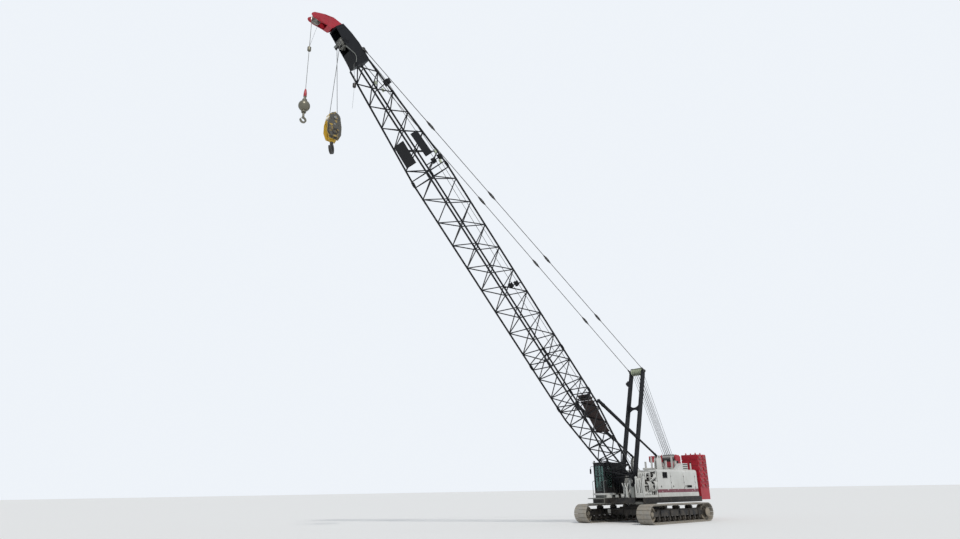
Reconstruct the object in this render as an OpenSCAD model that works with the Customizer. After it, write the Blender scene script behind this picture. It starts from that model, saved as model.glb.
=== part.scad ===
// Crawler crane with a lattice boom, a live mast, a hook block and a ball.
// +X points the way the boom does, +Y to the crane's left and +Z up.
// The origin is on the ground under the swing centre. All sizes in millimetres.

/* [Crawlers] */
// Length of a crawler over its shoes
crawler_l = 6450; // [6250:10:6700]
// Height of a crawler over its shoes
crawler_h = 1050; // [1030:5:1060]
// Width of a shoe
shoe_w = 914; // [820:2:960]
// Distance between the two crawlers' centre lines
gauge = 4515; // [4400:5:4650]
// Shoes along one straight run of a loop
run_shoes = 23; // [22:1:24]
// Shoes round one end of a loop
end_shoes = 7; // [6:1:8]
// Thickness of a shoe
shoe_t = 50; // [40:1:60]
// Gap between two shoes
shoe_gap = 24; // [20:1:34]
// Depth of the chain links inside the shoes
link_t = 60; // [50:1:70]
// Width of the chain links
link_w = 340; // [300:2:380]
// Radius of a track roller
roller_r = 140; // [120:1:150]
// Track rollers under one frame
roller_count = 9; // [7:1:10]
// Width of a crawler frame
frame_w = 440; // [400:2:460]
// Wall of a crawler frame's side plates
frame_wall = 24; // [16:1:30]

/* [Carbody] */
// Length and width of the carbody's middle box
carbody_w = 2000; // [1800:10:2200]
// Width of a carbody cross beam along the crane
cross_beam_w = 500; // [400:10:560]
// Distance of each cross beam from the swing centre
cross_beam_x = 900; // [800:10:950]
// Top of the carbody
carbody_top = 1000; // [960:5:1020]
// Radius of the swing bearing
ring_r = 820; // [760:5:880]

/* [Deck] */
// Underside of the deck
deck_bottom = 1200; // [1190:5:1220]
// Top of the deck plate
deck_top = 1400; // [1380:5:1420]
// Front end of the deck
deck_front = 1900; // [1850:10:1950]
// Rear end of the deck
deck_rear = -4130; // [-4200:10:-4100]
// Width over the deck rails
deck_w = 3000; // [2900:10:3100]

/* [Houses] */
// Rear wall of the machinery houses
house_rear = -3820; // [-3860:10:-3700]
// Front wall of the machinery houses
house_front = 450; // [400:10:500]
// Roof height of the machinery houses
house_roof = 2960; // [2900:10:3020]
// Distance of a house's inner wall from the middle
house_inner = 640; // [630:5:700]
// Thickness of the house walls
house_wall = 40; // [30:1:50]
// Radius of the houses' upper edges
house_round = 160; // [100:5:220]

/* [Counterweight] */
// Length of the counterweight along the crane
weight_l = 1000; // [900:10:1100]
// Underside of the counterweight
weight_bottom = 1180; // [1160:5:1200]
// Top of the counterweight towers
weight_top = 3900; // [3700:10:4000]
// Top of the tray that joins the towers
tray_top = 1850; // [1700:10:1900]
// Gap between the two towers
tower_gap = 700; // [600:10:800]
// Slabs in one tower
slab_count = 6; // [4:1:8]

/* [Cab] */
// Front face of the cab
cab_front = 2370; // [2320:10:2420]
// Rear face of the cab
cab_rear = 640; // [600:10:700]
// Inner side of the cab, to the right of the middle
cab_inner = 860; // [850:5:880]
// Outer side of the cab
cab_outer = 1680; // [1670:5:1720]
// Underside of the cab
cab_bottom = 1660; // [1640:5:1680]
// Top of the cab
cab_top = 3400; // [3350:10:3450]
// Thickness of the cab's walls and door
cab_wall = 50; // [40:1:60]
// Thickness of the glass
glass_t = 8; // [6:1:12]

/* [Boom] */
// Boom foot pins ahead of the swing centre
foot_x = 1300; // [1250:10:1350]
// Boom foot pins above the ground
foot_z = 2104; // [2080:2:2140]
// Boom angle above the horizontal
boom_angle = 46.77; // [46:0.01:47.5]
// Width between the boom's chord centres
boom_w = 1370; // [1340:2:1400]
// Depth between the boom's chord centres
boom_d = 1600; // [1560:5:1640]
// Radius of the chords
chord_r = 51; // [40:1:60]
// Radius of the lacing
lace_r = 31; // [28:1:32]
// Length of the base section
base_l = 6450; // [6300:10:6600]
// Length of the short insert
short_l = 3050; // [2900:10:3200]
// Length of the long insert
long_l = 12190; // [11800:10:12400]
// Length of the top section's lattice
top_l = 6560; // [6300:10:6800]
// Length of the closed head plates
head_l = 2150; // [2100:10:2250]
// Distance of a section's first lacing from its end
end_gap = 183; // [170:1:220]
// Half width between the chord centres at the head plates
head_half_w = 333; // [325:1:345]
// Back chords' height above the boom's axis at the head plates
head_back = 385; // [370:5:400]
// Belly chords' depth below the boom's axis at the head plates
head_belly = 545; // [530:5:560]

/* [Sheaves and hooks] */
// Groove radius of the head sheaves and the block's sheaves
sheave_r = 250; // [230:2:260]
// Groove radius of the tip sheave
tip_sheave_r = 200; // [180:2:220]
// Radius of the hoist rope
rope_r = 14; // [10:1:18]
// Radius of a pendant
pendant_r = 20; // [16:1:26]
// Drop from the head sheaves to the block's sheaves
block_drop = 4600; // [4300:10:4800]
// Drop from the tip sheave to the ball's centre
ball_drop = 5050; // [4800:10:5300]
// Radius of the ball
ball_r = 270; // [240:2:300]

/* [Mast and backstops] */
// Length of the mast from its foot pins to its top sheaves
mast_l = 7250; // [7100:10:7400]
// Mast angle above the horizontal, past upright
mast_angle = 106.1; // [105.5:0.1:106.5]
// Distance of a mast leg's middle plane from the middle
mast_y = 447; // [440:1:455]
// Width of a mast leg across the crane
mast_leg_w = 110; // [90:2:120]
// Depth of a mast leg fore and aft
mast_leg_d = 280; // [240:5:300]
// Radius of a backstop's outer tube
backstop_r = 95; // [85:1:100]
// Radius of a backstop's rod
backstop_rod_r = 60; // [50:1:70]
// Length of a backstop's outer tube
backstop_tube_l = 3900; // [3700:10:4000]
// Length of a backstop's rod
backstop_rod_l = 3950; // [3800:10:4050]

/* [Fits] */
// Running clearance at pins and bearings
fit = 0.3; // [0.2:0.05:0.4]
// Radius of the boom foot pins
foot_pin_r = 60; // [50:1:70]

/* [Hidden] */

black = [0.05, 0.05, 0.055];
white = [0.78, 0.78, 0.75];
red = [0.62, 0.08, 0.13];
dust = [0.42, 0.37, 0.31];
steel = [0.55, 0.55, 0.52];
yellow = [0.85, 0.68, 0.2];
glass_colour = [0.45, 0.62, 0.58, 0.4];
sides = [1, -1];

// Crawler geometry
end_r = crawler_h / 2;
wheel_x = crawler_l / 2 - end_r;
wheel_r = end_r - shoe_t - link_t - fit;
roller_z = shoe_t + link_t + roller_r + fit;
roller_span = 2 * (wheel_x - wheel_r) - 2 * roller_r - 220;
plate_y = frame_w / 2;
plate_in = plate_y - frame_wall;
frame_top = crawler_h - shoe_t - link_t - 180;
frame_bottom = roller_z + roller_r + 15;
frame_end = wheel_x - wheel_r - 60;
carrier_r = (crawler_h - shoe_t - link_t - frame_top) / 2 - fit;
shoe_l = PI * end_r / end_shoes - shoe_gap;
shoe_bevel = 14;
axle_r = 45;
hub_r = 120;
carbody_bottom = 420;
lashing_y = 450;
lashing_z = 320;
eye_t = 40;
eye_r = 35;

// Deck, machinery and cab geometry
plate_t = 30;
rail_w = 100;
front_bottom = 1080;
beam_y = 460;
beam_w = 120;
weight_front = deck_rear;
weight_half_w = deck_w / 2;
drum_stand_t = 40;
drum_half = 300;
drum_barrel_r = 230;
drum_flange_r = 360;
drum_axle_r = 60;
front_drum_pos = [250, 1900];
rear_drum_pos = [-900, 1900];
hoist_drum_pos = [-2680, 3700];
hoist_half = 940;
hoist_barrel_r = 150;
hoist_flange_r = 185;
hoist_axle_r = 45;
backstop_foot = [-730, 3710];
backstop_y = 870;
backstop_pin_r = 40;
bracket_t = 24;
bracket_gap = 68;
bail_pos = [-3250, 3720];
bail_half = 350;
bail_rod_r = 60;
post_y = 380;
post_t = 100;

// Boom stations, measured along the boom from its foot pins
joint_c = base_l;
joint_b = joint_c + short_l;
joint_a = joint_b + long_l;
head_s = joint_a + top_l;
head_end = head_s + head_l;
half_w = boom_w / 2;
half_d = boom_d / 2;
taper_end = 5700;
foot_lug_w = 90;
head_sheave = [head_s + 1350, -170];
tip_root = [head_end - 120, -240];
tip_angle = -40.6;
tip_l = 1060;
backstop_eye = [5590, half_d];
pendant_foot = [head_s + 620, head_back + 95];
pendant_y = mast_y + mast_leg_w / 2 + 6;

// Places a boom piece: local X runs along the boom and local Z out of its back
module on_boom() translate([foot_x, 0, foot_z]) rotate([0, -boom_angle, 0]) children();
// Places a mast piece: local X runs along the mast
module on_mast() translate([foot_x, 0, foot_z]) rotate([0, -mast_angle, 0]) children();
function boom_point(s, off) = [
    foot_x + s * cos(boom_angle) - off * sin(boom_angle),
    foot_z + s * sin(boom_angle) + off * cos(boom_angle)
];
head_at = boom_point(head_sheave[0], head_sheave[1]);
tip_at = boom_point(tip_root[0] + tip_l * cos(tip_angle), tip_root[1] + tip_l * sin(tip_angle));
eye_at = boom_point(backstop_eye[0], backstop_eye[1]);
mast_top = [foot_x + mast_l * cos(mast_angle), foot_z + mast_l * sin(mast_angle)];
backstop_angle = atan2(eye_at[1] - backstop_foot[1], eye_at[0] - backstop_foot[0]);
backstop_l = norm(eye_at - backstop_foot);
module on_backstop(side) translate([backstop_foot[0], side * backstop_y, backstop_foot[1]])
    rotate([0, -backstop_angle, 0]) children();

// A straight bar with flat sides from p to q
module bar(p, q, r, n = 6, turn = 0) {
    d = q - p;
    translate(p) rotate([0, acos(d[2] / norm(d)), atan2(d[1], d[0])]) rotate(turn)
        cylinder(h = norm(d), r = r, $fn = n);
}
// A lacing bar between two chords' centre lines, its ends inside the chords
// turned about its own length so that crossing bars share no flat
module lace(p, q, turn) {
    d = (q - p) / norm(q - p) * lace_cut;
    bar(p + d, q - d, lace_r, 6, turn);
}
// A cylinder along Y from y0 to y1
module y_rod(r, y0, y1) translate([0, y1, 0]) rotate([90, 0, 0]) cylinder(h = y1 - y0, r = r, $fn = 48);
// A box given by its low and high corners
module span(a, b) translate(a) cube(b - a);
// A plate of outline children() in the XZ plane, from y0 to y1
module xz_plate(y0, y1) translate([0, y1, 0]) rotate([90, 0, 0]) linear_extrude(y1 - y0) children();
// A rope sheave about the Y axis
module sheave(groove, rim, w, bore) rotate([90, 0, 0]) rotate_extrude($fn = 64) polygon([
    [bore, -w / 2], [rim, -w / 2], [rim, -w / 2 + 8], [groove, -w / 6],
    [groove, w / 6], [rim, w / 2 - 8], [rim, w / 2], [bore, w / 2]
]);
// A drum with two flanges and its wound rope about the Y axis
module drum(half, barrel, flange, flange_t, bore) rotate([90, 0, 0]) rotate_extrude($fn = 64) polygon([
    [bore, -half], [flange, -half], [flange, -half + flange_t], [barrel, -half + flange_t],
    [barrel, half - flange_t], [flange, half - flange_t], [flange, half], [bore, half]
]);
module stadium(r) {
    for (s = sides) translate([s * wheel_x, end_r]) circle(r = r, $fn = 96);
    translate([-wheel_x, end_r - r]) square([2 * wheel_x, 2 * r]);
}

// A loop of flat shoes on its chain, with a shoe at each end of the straight runs
module shoe() {
    half = shoe_l / 2;
    polygon([[-half, -shoe_t], [half, -shoe_t], [half, -shoe_bevel], [half - shoe_bevel, 0],
        [-half + shoe_bevel, 0], [-half, -shoe_bevel]]);
}
module track() {
    run_pitch = 2 * wheel_x / run_shoes;
    xz_plate(-shoe_w / 2, shoe_w / 2) for (turn = [0, 180]) translate([0, end_r]) rotate(turn) {
        for (i = [0 : run_shoes - 1]) translate([i * run_pitch - wheel_x, end_r]) shoe();
        for (i = [0 : end_shoes - 1]) translate([wheel_x, 0]) rotate(-180 * i / end_shoes)
            translate([0, end_r]) shoe();
    }
    xz_plate(-link_w / 2, link_w / 2) difference() {
        stadium(end_r - shoe_t + 8);
        stadium(end_r - shoe_t - link_t);
    }
}
module at_crawler(side) translate([0, side * gauge / 2, 0]) children();

function roller_x(i) = -roller_span / 2 + i * roller_span / (roller_count - 1);
module crawler_frame(side) {
    difference() {
        union() {
            span([-frame_end, -plate_y, frame_bottom], [frame_end, plate_y, frame_top]);
            for (s = sides) {
                y0 = s > 0 ? plate_in : -plate_y;
                for (i = [0 : roller_count - 1]) span([roller_x(i) - 65, y0, roller_z - 60],
                    [roller_x(i) + 65, y0 + frame_wall, frame_bottom + 1]);
                for (e = sides) {
                    x0 = e > 0 ? frame_end - 1 : -wheel_x - 120;
                    span([x0, y0, end_r - 130], [x0 + wheel_x + 121 - frame_end, y0 + frame_wall,
                        end_r + 130]);
                }
            }
        }
        for (e = sides) translate([e * wheel_x, 0, end_r]) y_rod(axle_r + fit, -plate_y - 1, plate_y + 1);
    }
    translate([-wheel_x, 0, end_r]) {
        y_rod(250, side > 0 ? plate_y : -plate_y - 150, side > 0 ? plate_y + 150 : -plate_y);
        y_rod(200, side > 0 ? -plate_y - 190 : plate_y, side > 0 ? -plate_y : plate_y + 190);
    }
    for (x = [-1300, 0, 1300]) for (s = sides)
        span([x - 60, s > 0 ? plate_in : -plate_y, frame_top - 1],
            [x + 60, s > 0 ? plate_y : -plate_in, frame_top + carrier_r + 60]);
}
module rollers() {
    for (i = [0 : roller_count - 1])
        translate([roller_x(i), 0, roller_z]) {
            y_rod(roller_r, -plate_in + 30, plate_in - 30);
            y_rod(axle_r, -plate_in, plate_in);
        }
    for (x = [-1300, 0, 1300]) translate([x, 0, frame_top + carrier_r]) {
        y_rod(carrier_r - fit, -plate_in + 30, plate_in - 30);
        y_rod(axle_r * 0.7, -plate_in, plate_in);
    }
}
module end_wheel() {
    difference() {
        y_rod(wheel_r, -plate_in + 40, plate_in - 40);
        for (s = sides) y_rod(wheel_r - 90, s > 0 ? plate_in - 100 : -plate_in,
            s > 0 ? plate_in : -plate_in + 100);
    }
    y_rod(hub_r, -plate_in, plate_in);
    y_rod(axle_r, -plate_y, plate_y);
}

module carbody() color(black) {
    beam_end = gauge / 2 - plate_y;
    span([-carbody_w / 2, -carbody_w / 2, carbody_bottom], [carbody_w / 2, carbody_w / 2,
        carbody_top - 120]);
    for (s = sides) span([s * cross_beam_x - cross_beam_w / 2, -beam_end, carbody_bottom + 10],
        [s * cross_beam_x + cross_beam_w / 2, beam_end, frame_top - 20]);
    translate([0, 0, carbody_top - 130]) cylinder(h = 130, r = ring_r + 60, $fn = 96);
    for (x = sides) for (y = sides) lashing_eye(x, y);
}
module lashing_eye(x, y) translate([x * (cross_beam_x + cross_beam_w / 2 - 40), y * lashing_y, lashing_z])
    rotate([0, 0, 90]) xz_plate(-eye_t / 2, eye_t / 2) difference() {
        union() {
            circle(r = 90, $fn = 48);
            translate([-90, 0]) square([180, carbody_bottom + 11 - lashing_z]);
        }
        circle(r = eye_r, $fn = 48);
    }
module crawler_frames() color(black) for (s = sides) at_crawler(s) crawler_frame(s);
module track_left() color(dust) at_crawler(1) track();
module track_right() color(dust) at_crawler(-1) track();
module track_rollers() color(black) for (s = sides) at_crawler(s) rollers();
module idler_wheels() color(dust) for (s = sides) at_crawler(s) translate([wheel_x, 0, end_r]) end_wheel();
module drive_wheels() color(dust) for (s = sides) at_crawler(s) translate([-wheel_x, 0, end_r]) end_wheel();
module swing_ring() color(steel) difference() {
    translate([0, 0, carbody_top]) cylinder(h = deck_bottom - 60 - fit - carbody_top, r = ring_r, $fn = 96);
    translate([0, 0, carbody_top - 1]) cylinder(h = deck_bottom - carbody_top, r = ring_r - 120, $fn = 96);
}

module deck() color(black) {
    span([deck_rear, -deck_w / 2 + rail_w, deck_top - plate_t],
        [deck_front, deck_w / 2 - rail_w, deck_top]);
    for (s = sides) span([deck_rear, s * beam_y - beam_w / 2, deck_bottom + 20],
        [deck_front - 200, s * beam_y + beam_w / 2, deck_top - 1]);
    translate([0, 0, deck_bottom - 60]) cylinder(h = deck_top - deck_bottom + 40, r = ring_r + 40,
        $fn = 96);
}
module deck_rails() color(black) {
    for (s = sides) span([deck_rear, s > 0 ? deck_w / 2 - rail_w : -deck_w / 2, front_bottom],
        [deck_front, s > 0 ? deck_w / 2 : -deck_w / 2 + rail_w, deck_top - plate_t]);
    span([deck_front, -cab_inner, front_bottom], [deck_front + 40, cab_inner, deck_top]);
}

// Y stations of the ears that hold the foot pins, from the middle outward
ear_t = 36;
mast_lug = [mast_y - mast_leg_w / 2, mast_y + mast_leg_w / 2];
boom_lug = [half_w - foot_lug_w / 2, half_w + foot_lug_w / 2];
ear_gap = 6;
ears = [mast_lug[0] - ear_gap - ear_t, mast_lug[1] + ear_gap, boom_lug[1] + ear_gap];
module ear_outline() {
    circle(r = foot_pin_r + 70, $fn = 48);
    polygon([[-foot_pin_r - 70, 0], [foot_pin_r + 70, 0], [260, deck_top - foot_z],
        [-420, deck_top - foot_z]]);
}
module boom_brackets() color(black) for (s = sides) translate([foot_x, 0, foot_z]) {
    for (y = ears) xz_plate(s > 0 ? y : -y - ear_t, s > 0 ? y + ear_t : -y) ear_outline();
    y_rod(foot_pin_r, s > 0 ? ears[0] - 10 : -ears[2] - ear_t - 15,
        s > 0 ? ears[2] + ear_t + 15 : -ears[0] + 10);
}

module house_profile(inset) {
    r = house_round - inset;
    y0 = house_inner + inset;
    y1 = deck_w / 2 - inset;
    z1 = house_roof - inset;
    translate([y0, deck_top - 1]) square([y1 - y0, z1 - r - deck_top + 1]);
    translate([y0, z1 - r - 1]) square([y1 - y0 - r, r + 1]);
    translate([y1 - r, z1 - r]) circle(r = r, $fn = 48);
}
// Openings in the houses' outer walls: [X from, X to, Z from, Z to]
grille_t = 30;
house_openings = [[-600, -90, 2460, 2800], [-3150, -2600, 1900, 2040]];
module house() difference() {
    translate([house_rear, 0, 0]) rotate([90, 0,
        90]) linear_extrude(house_front - house_rear) intersection() {
        house_profile(0);
        translate([0, deck_top]) square([deck_w, 4000]);
    }
    translate([house_rear + house_wall, 0, 0]) rotate([90, 0, 90])
        linear_extrude(house_front - house_rear - 2 * house_wall) house_profile(house_wall);
    for (w = house_openings) span([w[0], deck_w / 2 - house_wall - 20, w[2]],
        [w[1], deck_w / 2 + 20, w[3]]);
}
// The air intake's hood on the left roof, and a short pipe behind it
module roof_hood() {
    xz_plate(hoist_half + 110, 1370) polygon([[-3130, house_roof - 1], [-1960, house_roof - 1],
        [-2460, house_roof + 380],
        [-3130, house_roof + 380]]);
    translate([-3650, 1250, house_roof - 1]) cylinder(h = 400, r = 45, $fn = 48);
}
module house_left() color(white) {
    house();
    roof_hood();
}
module house_right() color(white) mirror([0, 1, 0]) house();
module house_grilles() color(black) for (side = sides) mirror([0, side > 0 ? 0 : 1,
    0]) for (w = house_openings) {
    y1 = deck_w / 2 - 4;
    slats = round((w[3] - w[2]) / 50);
    for (i = [0 : slats - 1]) translate([w[0], y1 - grille_t, w[2] + (i + 0.2) * (w[3] - w[2]) / slats])
        cube([w[1] - w[0], grille_t, 18]);
    for (x = [w[0], (w[0] + w[1]) / 2 - 10, w[1] - 20]) span([x, y1 - grille_t, w[2]],
        [x + 20, y1 - 8, w[3]]);
}
module engine() color(steel) span([-2600, house_inner + 140, deck_top],
    [-900, deck_w / 2 - 160, deck_top + 1000]);

rack_y = [860, deck_w / 2 - 20];
rack_x = [house_front + 60, deck_front - 60];
rack_top = 2900;
rack_mid = 1080;
rack_t = 80;
module pump_rack() color(white) {
    span([rack_x[0], rack_y[0], deck_top], [rack_x[1], rack_y[1], deck_top + 120]);
    for (x = [rack_x[0], rack_mid]) for (y = [rack_y[0], rack_y[1] - rack_t])
        span([x, y, deck_top + 119], [x + rack_t, y + rack_t, rack_top]);
    for (y = [rack_y[0], rack_y[1] - rack_t]) {
        span([rack_x[0], y, rack_top - rack_t], [rack_mid + rack_t, y + rack_t, rack_top]);
        span([rack_x[0], y, 2040], [rack_x[1], y + rack_t, 2040 + rack_t]);
        span([rack_x[1] - rack_t, y, deck_top + 119], [rack_x[1], y + rack_t, 2040 + rack_t]);
    }
    span([rack_x[0], rack_y[0], 2480], [rack_mid, rack_y[0] + rack_t, 2480 + rack_t]);
    for (x = [rack_x[0], rack_mid]) for (z = [2040, 2480, rack_top - rack_t])
        span([x, rack_y[0], z], [x + rack_t, rack_y[1], z + rack_t]);
}
// Pumps on the deck and valve blocks on the rack's rails: [X from, X to, Z from, Z to]
valve_places = [[620, 940, 2120, 2420], [1220, 1560, 2120, 2380], [640, 900, 2560, 2790]];
module valve_blocks() color(black) {
    for (i = [0 : 2]) translate([rack_x[0] + 230 + i * 430, 0, deck_top + 120]) {
        translate([0, 0, 180]) {
            y_rod(170, rack_y[0] + 90, rack_y[1] - 160);
            y_rod(110, rack_y[1] - 161, rack_y[1] - 90);
        }
        span([-100, rack_y[0] + 120, 0], [100, rack_y[1] - 200, 90]);
    }
    for (v = valve_places) {
        span([v[0], rack_y[0] + 2, v[2]], [v[1], rack_y[1] - 10, v[3]]);
        for (x = [v[0] + 60, v[1] - 60]) translate([x, 0, (v[2] + v[3]) / 2])
            y_rod(36, rack_y[1] - 11, rack_y[1] + 20);
    }
}
// The grey oil tank with its overhanging lid
module oil_tank() color(steel) {
    span([1610, 600, deck_top], [deck_front - 10, 780, deck_top + 560]);
    span([1590, 580, deck_top + 559], [deck_front + 10, 800, deck_top + 590]);
}

hoist_stand_t = 30;
module drum_frame() color(black) {
    for (s = sides) {
        y0 = s > 0 ? hoist_half + 8 : -hoist_half - 8 - hoist_stand_t;
        span([hoist_drum_pos[0] - 70, y0, house_roof], [hoist_drum_pos[0] + 70, y0 + hoist_stand_t,
            hoist_drum_pos[1] + 70]);
        drum_stands(s);
    }
    at_xz(hoist_drum_pos) y_rod(hoist_axle_r, -hoist_half - 9, hoist_half + 9);
}
module drum_stands(s) {
    y0 = s > 0 ? drum_half + 10 : -drum_half - 10 - drum_stand_t;
    for (p = [front_drum_pos, rear_drum_pos]) {
        span([p[0] - 220, y0, deck_top], [p[0] + 220, y0 + drum_stand_t, p[1] + 120]);
        translate([p[0], 0, p[1]]) y_rod(drum_axle_r, s > 0 ? 0 : y0, s > 0 ? y0 + drum_stand_t : 0);
    }
}
module at_xz(p) translate([p[0], 0, p[1]]) children();
module front_drum() color(steel) at_xz(front_drum_pos) drum(drum_half, drum_barrel_r, drum_flange_r,
    30, drum_axle_r + fit);
module rear_drum() color(steel) at_xz(rear_drum_pos) drum(drum_half, drum_barrel_r, drum_flange_r, 30,
    drum_axle_r + fit);
module boom_hoist_drum() color(steel) at_xz(hoist_drum_pos)
    drum(hoist_half, hoist_barrel_r, hoist_flange_r, 60, hoist_axle_r + fit);

// Thin posts on the houses' roofs: [X, top]
roof_posts = [[-1700, 3490], [-2370, 3800]];
roof_post_y = 750;
module gantry() color(white) {
    for (s = sides) {
        y0 = s > 0 ? post_y : -post_y - post_t;
        span([bail_pos[0] - 120, y0, deck_top], [bail_pos[0] + 120, y0 + post_t, bail_pos[1] + 130]);
        span([bail_pos[0], y0, 2990], [-980, y0 + post_t, 3110]);
        span([-1220, y0, deck_top], [-1100, y0 + post_t, 2991]);
        for (p = roof_posts) span([p[0] - 45, s * roof_post_y - 45, house_roof],
            [p[0] + 45, s * roof_post_y + 45, p[1]]);
    }
    at_xz(bail_pos) y_rod(bail_rod_r, -post_y - 1, post_y + 1);
}
// The stands on the roofs that hold the backstops' foot pins
module backstop_brackets() color(white) for (s = sides) translate([0, s * backstop_y, 0]) {
    for (e = sides) xz_plate(e > 0 ? bracket_gap : -bracket_gap - bracket_t,
        e > 0 ? bracket_gap + bracket_t : -bracket_gap)
        polygon([[-950, house_roof], [-400, house_roof], [-430, 3540], [-620, 3790],
            [-840, 3790], [-950, 3560]]);
    span([-930, -bracket_gap - 1, 3000], [-900, bracket_gap + 1, 3540]);
    at_xz(backstop_foot) y_rod(backstop_pin_r, -bracket_gap - bracket_t - 20, bracket_gap + bracket_t + 20);
}
module bail_sheaves() color(steel) at_xz(bail_pos) difference() {
    union() {
        y_rod(110, -bail_half, bail_half);
        for (i = [-2.5 : 2.5]) translate([0, i * 128, 0]) sheave(190, 225, 80, 100);
    }
    y_rod(bail_rod_r + fit, -bail_half - 5, bail_half + 5);
}

module counterweight_tray() color(red)
    span([weight_front - weight_l, -weight_half_w, weight_bottom], [weight_front, weight_half_w, tray_top]);
// Lifting lugs on each slab's outer side
lug_x = [70, 560];
lug_l = 260;
lug_t = 60;
lug_h = 80;
module counterweight_towers() color(red) for (s = sides) {
    y0 = s > 0 ? tower_gap / 2 : -weight_half_w;
    y1 = s > 0 ? weight_half_w : -tower_gap / 2;
    slab_h = (weight_top - tray_top) / slab_count;
    groove = 30;
    span([weight_front - weight_l + groove, y0 + groove, tray_top],
        [weight_front - groove, y1 - groove, weight_top - 10]);
    for (i = [0 : slab_count - 1]) span([weight_front - weight_l, y0,
        tray_top + i * slab_h + (i > 0 ? groove : 0)],
        [weight_front, y1, tray_top + (i + 1) * slab_h]);
    for (i = [0 : slab_count - 1]) for (x = lug_x) {
        z = tray_top + (i + 0.5) * slab_h;
        span([weight_front - x - lug_l, s > 0 ? y1 - 1 : y0 - lug_t, z - lug_h],
            [weight_front - x, s > 0 ? y1 + lug_t : y0 + 1, z + lug_h]);
    }
}

// The cab's windows: [face, low corner, high corner] across and up each face
door_x = [1260, 1960];
door_gap = 8;
door_z = [cab_bottom + 80, cab_top - 120];
window_z = [cab_bottom + 620, cab_top - 220];
side_window_x = [cab_rear + 1060, cab_front - 90];
module cab_windows(inset) {
    y_in = -cab_inner - 90 - inset;
    y_out = -cab_outer + 90 + inset;
    thick = inset > 0 ? (cab_wall - glass_t) / 2 : -5;
    span([cab_front - cab_wall + thick, y_out, cab_bottom + 120 + inset],
        [cab_front - thick, y_in, cab_top - 150 - inset]);
    span([cab_rear + thick, y_out, window_z[0] + inset], [cab_rear + cab_wall - thick, y_in,
        window_z[1] - inset]);
    span([side_window_x[0] + inset, -cab_inner - cab_wall + thick, window_z[0] - 300 + inset],
        [side_window_x[1] - inset, -cab_inner - thick, window_z[1] - inset]);
    span([door_x[1] + 70 + inset, -cab_outer + thick, window_z[0] - 300 + inset],
        [side_window_x[1] - inset, -cab_outer + cab_wall - thick, window_z[1] - inset]);
    span([cab_rear + 700 + inset, y_out + 60, cab_top - cab_wall + thick],
        [cab_front - 250 - inset, y_in - 60, cab_top - thick]);
}
module cab_shell() color(black) difference() {
    union() {
        span([cab_rear, -cab_outer, cab_bottom], [cab_front, -cab_inner, cab_top]);
        for (z = [door_z[0] - 20, door_z[1] - 20])
            span([cab_rear, -cab_outer - door_gap + fit, z], [door_x[1] + 20, -cab_outer + 1, z + 40]);
    }
    span([cab_rear + cab_wall, -cab_outer + cab_wall, cab_bottom + cab_wall],
        [cab_front - cab_wall, -cab_inner - cab_wall, cab_top - cab_wall]);
    cab_windows(0);
    span([door_x[0], -cab_outer - 1, door_z[0]], [door_x[1], -cab_outer + cab_wall + 1, door_z[1]]);
}
module cab_glass() color(glass_colour) cab_windows(fit);
module door_slot(inset, thick) span([door_x[0] + 60 + inset, -cab_outer - door_gap - cab_wall + thick,
    window_z[0] - 200 + inset],
    [door_x[1] - 60 - inset, -cab_outer - door_gap - thick, door_z[1] - 60 - inset]);
module cab_door() color(black) difference() {
    span([door_x[0] - 20, -cab_outer - door_gap - cab_wall, door_z[0] - 20],
        [door_x[1] + 20, -cab_outer - door_gap, door_z[1] + 20]);
    door_slot(0, -5);
}
module cab_door_glass() color(glass_colour) door_slot(fit, (cab_wall - glass_t) / 2);
module cab_seat() color(black) {
    y = -(cab_inner + cab_outer) / 2;
    z = cab_bottom + cab_wall;
    x = cab_front - 1150;
    span([x + 60, y - 180, z], [x + 460, y + 180, z + 300]);
    span([x - 40, y - 240, z + 299], [x + 510, y + 240, z + 430]);
    span([x - 110, y - 230, z + 400], [x + 10, y + 230, z + 1080]);
    for (s = sides) span([x + 60, y + s * 300 - 50, z], [x + 560, y + s * 300 + 50, z + 620]);
}
// The white sill under the cab, with its bracket down to the deck
sill_l = 200;
sill_t = 110;
module cab_base() color(white) {
    span([cab_rear, -cab_outer - 20, cab_bottom - sill_t], [cab_front + sill_l, -cab_inner + 20,
        cab_bottom]);
    span([deck_front - 60, -cab_inner - 60, deck_top], [deck_front + 400, -cab_inner + 20,
        cab_bottom - sill_t + 1]);
}
// The platform ahead of the deck under the cab, and its step with a lower rung
module cab_platform() color(steel) {
    x1 = cab_front + sill_l;
    y0 = -cab_outer - 40;
    span([deck_front, y0, front_bottom], [x1, -cab_inner, deck_top]);
    span([cab_rear + 20, -cab_outer, deck_top], [cab_front, -cab_inner - 80, cab_bottom - sill_t]);
    for (y = [y0, -cab_inner - 40]) {
        span([x1 - 1, y, deck_top - 60], [x1 + 480, y + 40, deck_top - 20]);
        span([x1 - 1, y, front_bottom + 1], [x1 + 520, y + 40, front_bottom + 31]);
    }
    for (i = [0 : 5]) span([x1 + 20 + i * 82, y0 + 1, deck_top - 50],
        [x1 + 50 + i * 82, -cab_inner - 1, deck_top - 30]);
    span([x1 + 440, y0 + 1, deck_top - 59], [x1 + 479, -cab_inner - 1, deck_top - 21]);
    span([x1 + 440, y0 + 1, front_bottom + 2], [x1 + 519, -cab_inner - 1, front_bottom + 30]);
}

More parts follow.
